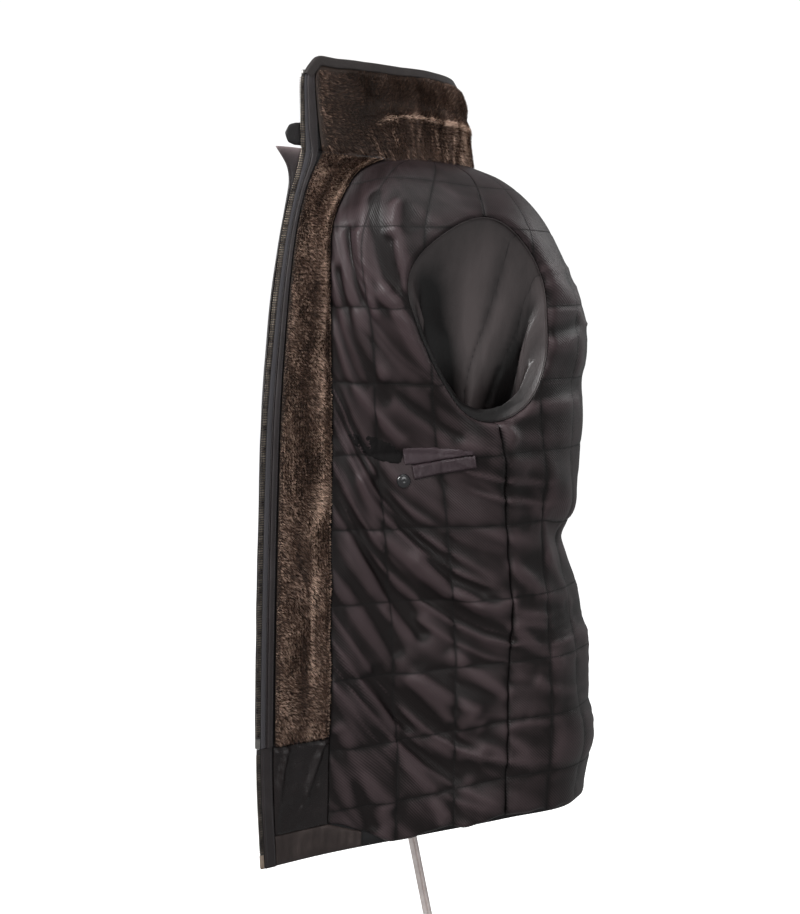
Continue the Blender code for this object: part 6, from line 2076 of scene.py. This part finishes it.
@dataclass
class ThroatPieces:
    """The storm flap behind the right zip and the tab behind the collar's front edge."""

    form: CoatForm
    finishes: Finishes
    roll: float = 0.0070      # how far the flap's top corner rolls out
    rolled: float = 0.060     # length of its top end that rolls

    def build(self) -> None:
        """Builds the flap and the tab."""
        self.flap()
        self.tab()

    def flap(self) -> None:
        """A leather strip behind the zip: its free edge stands past the teeth and its top end curls out.

        The curl is the table's, with a roll added that grows from 6 cm under the top and with the square of the way
        to the free edge; a bead runs along that edge.  A painted highlight lies on the rolled top end and its bead.
        """
        levels = steps(FUR_BOTTOM + 0.0004, NECK_LEVEL - 0.0004, 0.0045)
        knots = [row.level for row in FLAP_ROWS]
        reach = smooth_through(knots, np.array([row.reach for row in FLAP_ROWS]), levels)
        curl = smooth_through(knots, np.array([row.curl for row in FLAP_ROWS]), levels)
        curl = curl + self.roll * np.clip((levels - NECK_LEVEL + self.rolled) / self.rolled, 0, 1)**2
        shares = np.concatenate([np.linspace(-1, 0, 26), np.linspace(0, 1, 4)[1:]])
        free = np.minimum(shares, 0)[None] * reach[:, None] / METRES_ON_FACING
        u = free + np.maximum(shares, 0)[None] * (FLAP_HIDDEN_U - 0.004)
        loose = np.clip(-shares, 0, 1)[None]
        high = np.clip((levels - NECK_LEVEL + self.rolled) / self.rolled, 0, 1)[:, None]
        w = levels[:, None] + high**2 * (0.0050 - 0.0035 * loose**2) * (shares < 0.3)[None]
        wave = 0.0006 * SmoothNoise(71)(w / 0.030, shares[None] * 2 + 1) * loose
        lift = curl[:, None] * loose**2 + wave
        base, normal = self.form.points(u, w), self.form.normals(u, w)
        from_edge = (shares + 1)[None] * reach[:, None]
        bead = 1 + 0.55 * np.exp(-((from_edge - 0.0014) / 0.0011)**2)
        bead -= 0.25 * np.exp(-((from_edge - 0.0042) / 0.0007)**2)
        thick = (FLAP_THICKNESS / 2 - 0.0002) * bead * np.sqrt(np.clip(from_edge / 0.0014, 0.05, 1))
        middle = base + normal * (lift - LEATHER - 0.0008 - FLAP_THICKNESS / 2)[..., None]
        # Painted highlight on the rolled top end, strongest towards the top and on the bead.
        pale = high**1.5 * (0.30 + 0.70 * np.exp(-((1 - high) / 0.16)**2)) * (0.55 + 0.45 * bead / 1.55)
        wall = make_wall("storm_flap", middle + normal * thick[..., None], middle - normal * thick[..., None],
                         maps={"lie": np.dstack([pale, pale])})
        dress(wall, self.finishes.flap, "leather", "storm_flap")
        declare_cloth(wall, 0.09, 0.73, ["shell_front_right"])

    def tab(self) -> None:
        """A rounded leather tab: its outline comes from the table, smoothed from row to row."""
        table = np.array(TAB_OUTLINE)
        columns = np.linspace(table[0, 0], table[-1, 0], 40)
        low = np.interp(columns, table[:, 0], table[:, 1])
        high = np.interp(columns, table[:, 0], table[:, 2])
        end = np.clip((columns - columns[0]) / 0.07, 0, 1)
        middle, half = (low + high) / 2, (high - low) / 2 * np.sqrt(np.clip(1 - (1 - end)**2, 0.02, 1))
        shares = np.linspace(-1, 1, 14)
        u = np.repeat(columns[None], len(shares), axis=0)
        v = middle[None] + half[None] * shares[:, None]
        base, normal = self.form.collar(u, v), self.form.collar_normals(u, v)
        round_edge = np.sqrt(np.clip(np.minimum(1 - np.abs(shares)[:, None], end[None] + 0.02) / 0.3, 0.1, 1))
        centre = base - normal * (LEATHER + 0.0006 + TAB_THICKNESS / 2)
        half_wall = normal * ((TAB_THICKNESS / 2 - 0.0003) * round_edge)[..., None]
        wall = make_wall("throat_tab", centre + half_wall, centre - half_wall)
        dress(wall, self.finishes.tab, "leather", "throat_tab")


@dataclass
class Pocket:
    """The inner pocket's welt, a dark sheet of painted shadow in its gaping mouth, and its snap button."""

    form: CoatForm
    finishes: Finishes
    welt_depth: float = 0.0165
    # Edges of the dark sheet of painted shadow in the gape and of the strip of lining behind the welt: (y, z) above,
    # then below.
    gape: tuple = (((-.0980, .7950), (-.0800, .7940), (-.0620, .7900), (-.0460, .7830), (-.0320, .7770)),
                   ((-.0980, .7925), (-.0880, .7810), (-.0720, .7690), (-.0530, .7615), (-.0320, .7590)))
    strip: tuple = (((-.0330, .7790), (-.0150, .7790), (.0120, .7780), (.0350, .7765), (.0460, .7755)),
                    ((-.0300, .7580), (-.0150, .7590), (.0120, .7640), (.0350, .7685), (.0460, .7705)))

    def build(self) -> None:
        """Builds the pocket."""
        # Painted shadow: a near-black sheet on the lining stands in for the shade inside the pocket's mouth.
        self.patch("pocket_gape", self.gape, self.finishes.dark, 0.0010)
        self.patch("pocket_strip", self.strip, self.finishes.welt, 0.0018)
        self.welt()
        self.snap()

    def lining_x(self, y: Array, z: Array) -> Array:
        """x of the lining's outer face at (y, z) on the right front, read from the coat's surface."""
        flat_y, flat_z = np.ravel(y), np.ravel(z)
        u, w = spread(np.linspace(1.1, 4.4, 150), np.linspace(0.66, 0.86, 90))
        known = self.form.points(u, w).reshape(-1, 3)
        gap = (known[None, :, 1] - flat_y[:, None])**2 + (known[None, :, 2] - flat_z[:, None])**2
        near = gap.argmin(axis=1)
        u, w = u.ravel()[near], w.ravel()[near]
        relief = Quilting(self.form).height(u, w)
        x = self.form.points(u, w)[:, 0] + LINING_STITCHED + relief
        return x.reshape(np.shape(y))

    def patch(self, name: str, edges: tuple, material: bpy.types.Material, high: float) -> None:
        """A thin wall on the lining between two edges, each a cubic through its points."""
        reads, shares = np.linspace(0, 4, 40), np.linspace(0, 1, 12)[:, None]
        above, below = (smooth_through(np.arange(5), np.array(edge), reads) for edge in edges)
        places = above[None] * (1 - shares[..., None]) + below[None] * shares[..., None]
        seat = self.lining_x(places[..., 0], places[..., 1])
        seat = seat * 0.4 + (seat.max(axis=0, keepdims=True) if high > 0.0012 else seat) * 0.6
        rim = np.minimum.reduce(np.broadcast_arrays(shares, 1 - shares, reads[None] / 4, 1 - reads[None] / 4))
        rise = high * np.sqrt(np.clip(rim / 0.12, 0.05, 1))
        wrinkle = 0.0005 * SmoothNoise(83)(reads[None] * 6, shares * 2)
        cloth = np.dstack([places[..., 0], places[..., 1]])
        # The map lie holds the painted crest and painted light at flat levels.
        wall = make_wall(name, np.dstack([seat + rise + wrinkle, places]), np.dstack([seat - 0.0012, places]),
                         maps={"cloth": cloth, "quilt": np.full(cloth.shape, 0.5),
                               "lie": np.full(cloth.shape, (0.55, 0.45))})
        dress(wall, material, "quilted_lining")
        declare_cloth(wall, 0.09, 0.025, ["lining_front_right"])

    def welt(self) -> None:
        """A folded strip of lining along the mouth, crinkled along its length."""
        start, end = np.array(POCKET_FRONT), np.array(POCKET_BACK)
        run = end - start
        down = np.array([run[1], -run[0]]) / np.linalg.norm(run)
        along, shares = np.linspace(0, 1, 60), np.linspace(0, 1, 16)
        tops = start + along[:, None] * run
        places = tops[None] + down * (self.welt_depth * shares[:, None, None])
        seat = self.lining_x(places[..., 0], places[..., 1])
        lowest = seat.max(axis=0, keepdims=True)
        seat = seat * 0.5 + lowest * 0.5
        crinkle = 0.0007 * SmoothNoise(81)(along[None] * 16, shares[:, None] * 1.5)
        round_edge = np.sqrt(np.clip(np.minimum(shares[:, None], 1 - shares[:, None]) / 0.14, 0.08, 1))
        outer = np.dstack([seat + 0.0006 + (0.0028 + crinkle) * round_edge, places])
        inner = np.dstack([seat - 0.0010, places])
        length = np.linalg.norm(run)
        cloth = np.stack(np.broadcast_arrays(along[None] * length, shares[:, None] * self.welt_depth), -1)
        quilt = np.full(cloth.shape, 0.5)
        # The map lie holds the painted crest and painted light at flat levels.
        wall = make_wall("pocket_welt", outer, inner, maps={"cloth": cloth, "quilt": quilt, "lie": quilt * (1, 0.8)})
        dress(wall, self.finishes.welt, "quilted_lining", "pocket_welt")
        declare_cloth(wall, 0.075, 0.02, ["lining_front_right"])

    def snap(self) -> None:
        """A domed cap turned round X: a low dome with a rolled rim and a dimpled middle."""
        y, z = SNAP_PLACE
        seat = float(self.lining_x(np.array([y]), np.array([z]))[0])
        inmost = float(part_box("pocket_snap")[0][0])
        seat = min(max(seat, inmost), inmost + 0.002)
        bend = np.linspace(0, math.pi / 2, 14)
        radius = SNAP_RADIUS * np.sin(bend)
        height = SNAP_HEIGHT * (0.30 + 0.70 * np.cos(bend)) - 0.0005 * np.exp(-(radius / 0.0016)**2)
        profile = np.concatenate([np.stack([radius, height], -1), [(SNAP_RADIUS * 1.02, 0.0006),
                                                                  (SNAP_RADIUS * 0.98, 0.0), (0.0, 0.0)]])
        turns = np.arange(40) * 2 * math.pi / 40
        rings = np.stack([seat + np.repeat(profile[:, 1:], 40, 1), y + profile[:, :1] * np.cos(turns),
                          z + profile[:, :1] * np.sin(turns)], -1)
        count, sides = rings.shape[:2]
        index = np.arange(count * sides).reshape(count, sides)
        faces = np.stack([index[:-1], np.roll(index[:-1], -1, 1), np.roll(index[1:], -1, 1), index[1:]],
                         -1).reshape(-1, 4)
        obj = add_object("pocket_snap", rings.reshape(-1, 3), faces[:, ::-1])
        weld(obj, 0.00002)
        dress(obj, self.finishes.snap, "snap_black", "pocket_snap")


def weld(obj: bpy.types.Object, distance: float) -> None:
    """Merges points closer than a distance, as at a pole, and turns the faces outwards."""
    shell = bmesh.new()
    shell.from_mesh(obj.data)
    bmesh.ops.remove_doubles(shell, verts=shell.verts[:], dist=distance)
    bmesh.ops.recalc_face_normals(shell, faces=shell.faces[:])
    shell.to_mesh(obj.data)
    shell.free()


@dataclass
class Stand:
    """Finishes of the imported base, socket and yoke, and a grooved pole in place of the plain one."""

    finishes: Finishes
    radius: float = 0.0058
    foot_y: float = 0.054
    bend_level: float = 0.080
    lean: float = 0.199
    knee_level: float = 0.440
    yoke_y: float = 0.046
    base_top: float = 0.0123

    def build(self) -> None:
        """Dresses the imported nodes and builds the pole."""
        for node, material in (("stand_base", self.finishes.steel), ("stand_socket", self.finishes.steel),
                               ("stand_yoke", self.finishes.aluminium)):
            for slot in bpy.data.objects[node].material_slots:
                slot.material = material
        self.pole()

    def route(self) -> Array:
        """The pole's line: straight runs joined by short parabolas that start 20 mm before each corner."""
        rise = self.knee_level - self.bend_level
        top = float(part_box("stand_pole")[1][2])
        corners = np.array([(0, self.foot_y, self.base_top), (0, self.foot_y, self.bend_level),
                            (0, self.foot_y - self.lean * rise, self.knee_level), (0, self.yoke_y, top)])
        points = [corners[:1]]
        t = np.linspace(0, 1, 7)[:, None]
        for before, corner, after in zip(corners[:-2], corners[1:-1], corners[2:]):
            a = corner + unit(before - corner) * 0.020
            b = corner + unit(after - corner) * 0.020
            points.append((1 - t)**2 * a + 2 * t * (1 - t) * corner + t**2 * b)
        return np.concatenate(points + [corners[-1:]])

    def pole(self) -> None:
        """A drawn aluminium section with a groove down its front and back, carried along the pole's line."""
        route = self.route()
        tangent = unit(np.gradient(route, axis=0))
        side = np.repeat(np.array([[1.0, 0.0, 0.0]]), len(route), axis=0)
        front = unit(np.cross(side, tangent))
        turns = np.arange(48) * 2 * math.pi / 48
        groove = np.exp(-(np.angle(np.exp(1j * turns)) / 0.16)**2) + np.exp(-(np.angle(-np.exp(1j * turns)) / 0.16)**2)
        flat = 1 - 0.05 * np.cos(4 * turns)
        reach = self.radius * np.minimum(flat, 1.0) * (1 - 0.34 * groove)
        profile = np.stack([reach * np.cos(turns), reach * np.sin(turns)], -1)
        obj = profile_strip("stand_pole", route, side, front, profile)
        dress(obj, self.finishes.aluminium, "stand_aluminium", "stand_pole")


# ----- Camera, floor and light -----
@dataclass
class Studio:
    """A pale floor, a white backdrop, soft lights, and the camera at the photograph's angle."""

    picture: tuple = (800, 914)
    lens_pixels: float = 1727.0
    sensor: float = 36.0
    azimuth: float = math.radians(75)
    elevation: float = math.radians(5)
    distance: float = 2.15
    target: tuple = (0.0, 0.0, 0.7552)

    def build(self) -> None:
        """Builds the studio."""
        self.camera()
        self.floor()
        self.backdrop()
        self.lights()
        scene = bpy.context.scene
        scene.view_settings.view_transform = "Standard"
        scene.view_settings.look = "None"

    def camera(self) -> None:
        """A camera on a sphere round the target, looking at it."""
        data = bpy.data.cameras.new("camera")
        data.sensor_fit = "AUTO"
        data.sensor_width = self.sensor
        data.lens = self.lens_pixels * self.sensor / max(self.picture)
        camera = bpy.data.objects.new("camera", data)
        bpy.context.scene.collection.objects.link(camera)
        back = Vector((math.sin(self.azimuth) * math.cos(self.elevation),
                       -math.cos(self.azimuth) * math.cos(self.elevation), math.sin(self.elevation)))
        camera.location = Vector(self.target) + back * self.distance
        camera.rotation_euler = back.to_track_quat("Z", "Y").to_euler()
        bpy.context.scene.camera = camera

    def floor(self) -> None:
        """A wide pale disc."""
        obj = self.disc("floor", 14.0, 0.0)
        s = Shader("floor_pale")
        grain = s.noise(3.0, 4.0)
        obj.data.materials.append(s.finish(Base_Color=s.mix(grain, (.90, .90, .90), (.94, .94, .94)), Roughness=0.9,
                                           Emission_Color=(1, 1, 1, 1), Emission_Strength=0.72))
        obj.visible_diffuse = obj.visible_glossy = False

    def backdrop(self) -> None:
        """A white dome far behind everything, seen by the camera but giving no light."""
        rows, turns = np.linspace(-0.02, math.pi / 2 - 0.01, 12), np.linspace(0, 2 * math.pi, 49)
        t, r = spread(turns, rows)
        points = 16.0 * np.stack([np.cos(r) * np.cos(t), np.cos(r) * np.sin(t), np.sin(r)], -1)
        index = np.arange(points.shape[0] * points.shape[1]).reshape(points.shape[:2])
        faces = np.stack([index[:-1, :-1], index[1:, :-1], index[1:, 1:], index[:-1, 1:]], -1).reshape(-1, 4)
        obj = add_object("backdrop", points.reshape(-1, 3), faces)
        s = Shader("backdrop_white")
        obj.data.materials.append(s.finish(Base_Color=(0, 0, 0), Roughness=1.0, Emission_Color=(1, 1, 1, 1),
                                           Emission_Strength=1.05, Specular_IOR_Level=0.0))
        obj.visible_diffuse = obj.visible_glossy = obj.visible_shadow = False
        obj.visible_transmission = False

    @staticmethod
    def disc(name: str, radius: float, level: float) -> bpy.types.Object:
        """A flat disc of 64 sides."""
        turns = np.arange(64) * 2 * math.pi / 64
        rim = np.stack([radius * np.cos(turns), radius * np.sin(turns), np.full(64, level)], -1)
        return link_mesh(name, rim, [tuple(range(64))], smooth=False)

    def lights(self) -> None:
        """A dim white world, a large soft key high before the coat, a fill by the camera, and two from behind."""
        world = bpy.data.worlds.new("studio")
        bpy.context.scene.world = world
        world.use_nodes = True
        world.node_tree.nodes["Background"].inputs[0].default_value = (1.0, 1.0, 1.0, 1.0)
        world.node_tree.nodes["Background"].inputs[1].default_value = 0.34
        self.area("key", (1.9, -2.4, 2.5), (0.1, 0.0, 0.85), 1.2, 125.0)
        self.area("fill", (2.9, 0.6, 1.5), (0.1, 0.05, 0.85), 1.2, 18.0)
        self.area("top", (0.8, 0.3, 3.1), (0.1, 0.0, 0.8), 1.5, 18.0)
        self.area("rim", (-0.9, 2.6, 1.8), (0.0, 0.0, 0.9), 1.2, 11.0)
        self.area("front", (-1.6, -2.6, 1.6), (0.0, 0.0, 0.8), 1.6, 22.0)

    @staticmethod
    def area(name: str, place: tuple, aim: tuple, size: float, power: float) -> None:
        """A square area light aimed at a point."""
        data = bpy.data.lights.new(name, "AREA")
        data.shape, data.size, data.energy = "SQUARE", size, power
        light = bpy.data.objects.new(name, data)
        light.location = place
        light.rotation_euler = (Vector(place) - Vector(aim)).to_track_quat("Z", "Y").to_euler()
        bpy.context.scene.collection.objects.link(light)


def main() -> None:
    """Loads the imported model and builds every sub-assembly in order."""
    logging.basicConfig(level=logging.INFO, format="%(message)s")
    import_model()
    form, finishes = CoatForm(), Finishes()
    Studio().build()
    for part in (Body(form, finishes), Sleeves(form, finishes), Facings(form, finishes),
                 FrontEdges(form, finishes), Collar(form, finishes), ThroatPieces(form, finishes),
                 Pocket(form, finishes), Stand(finishes)):
        part.build()
        log.info("built %s", type(part).__name__)


if __name__ == "__main__":
    main()
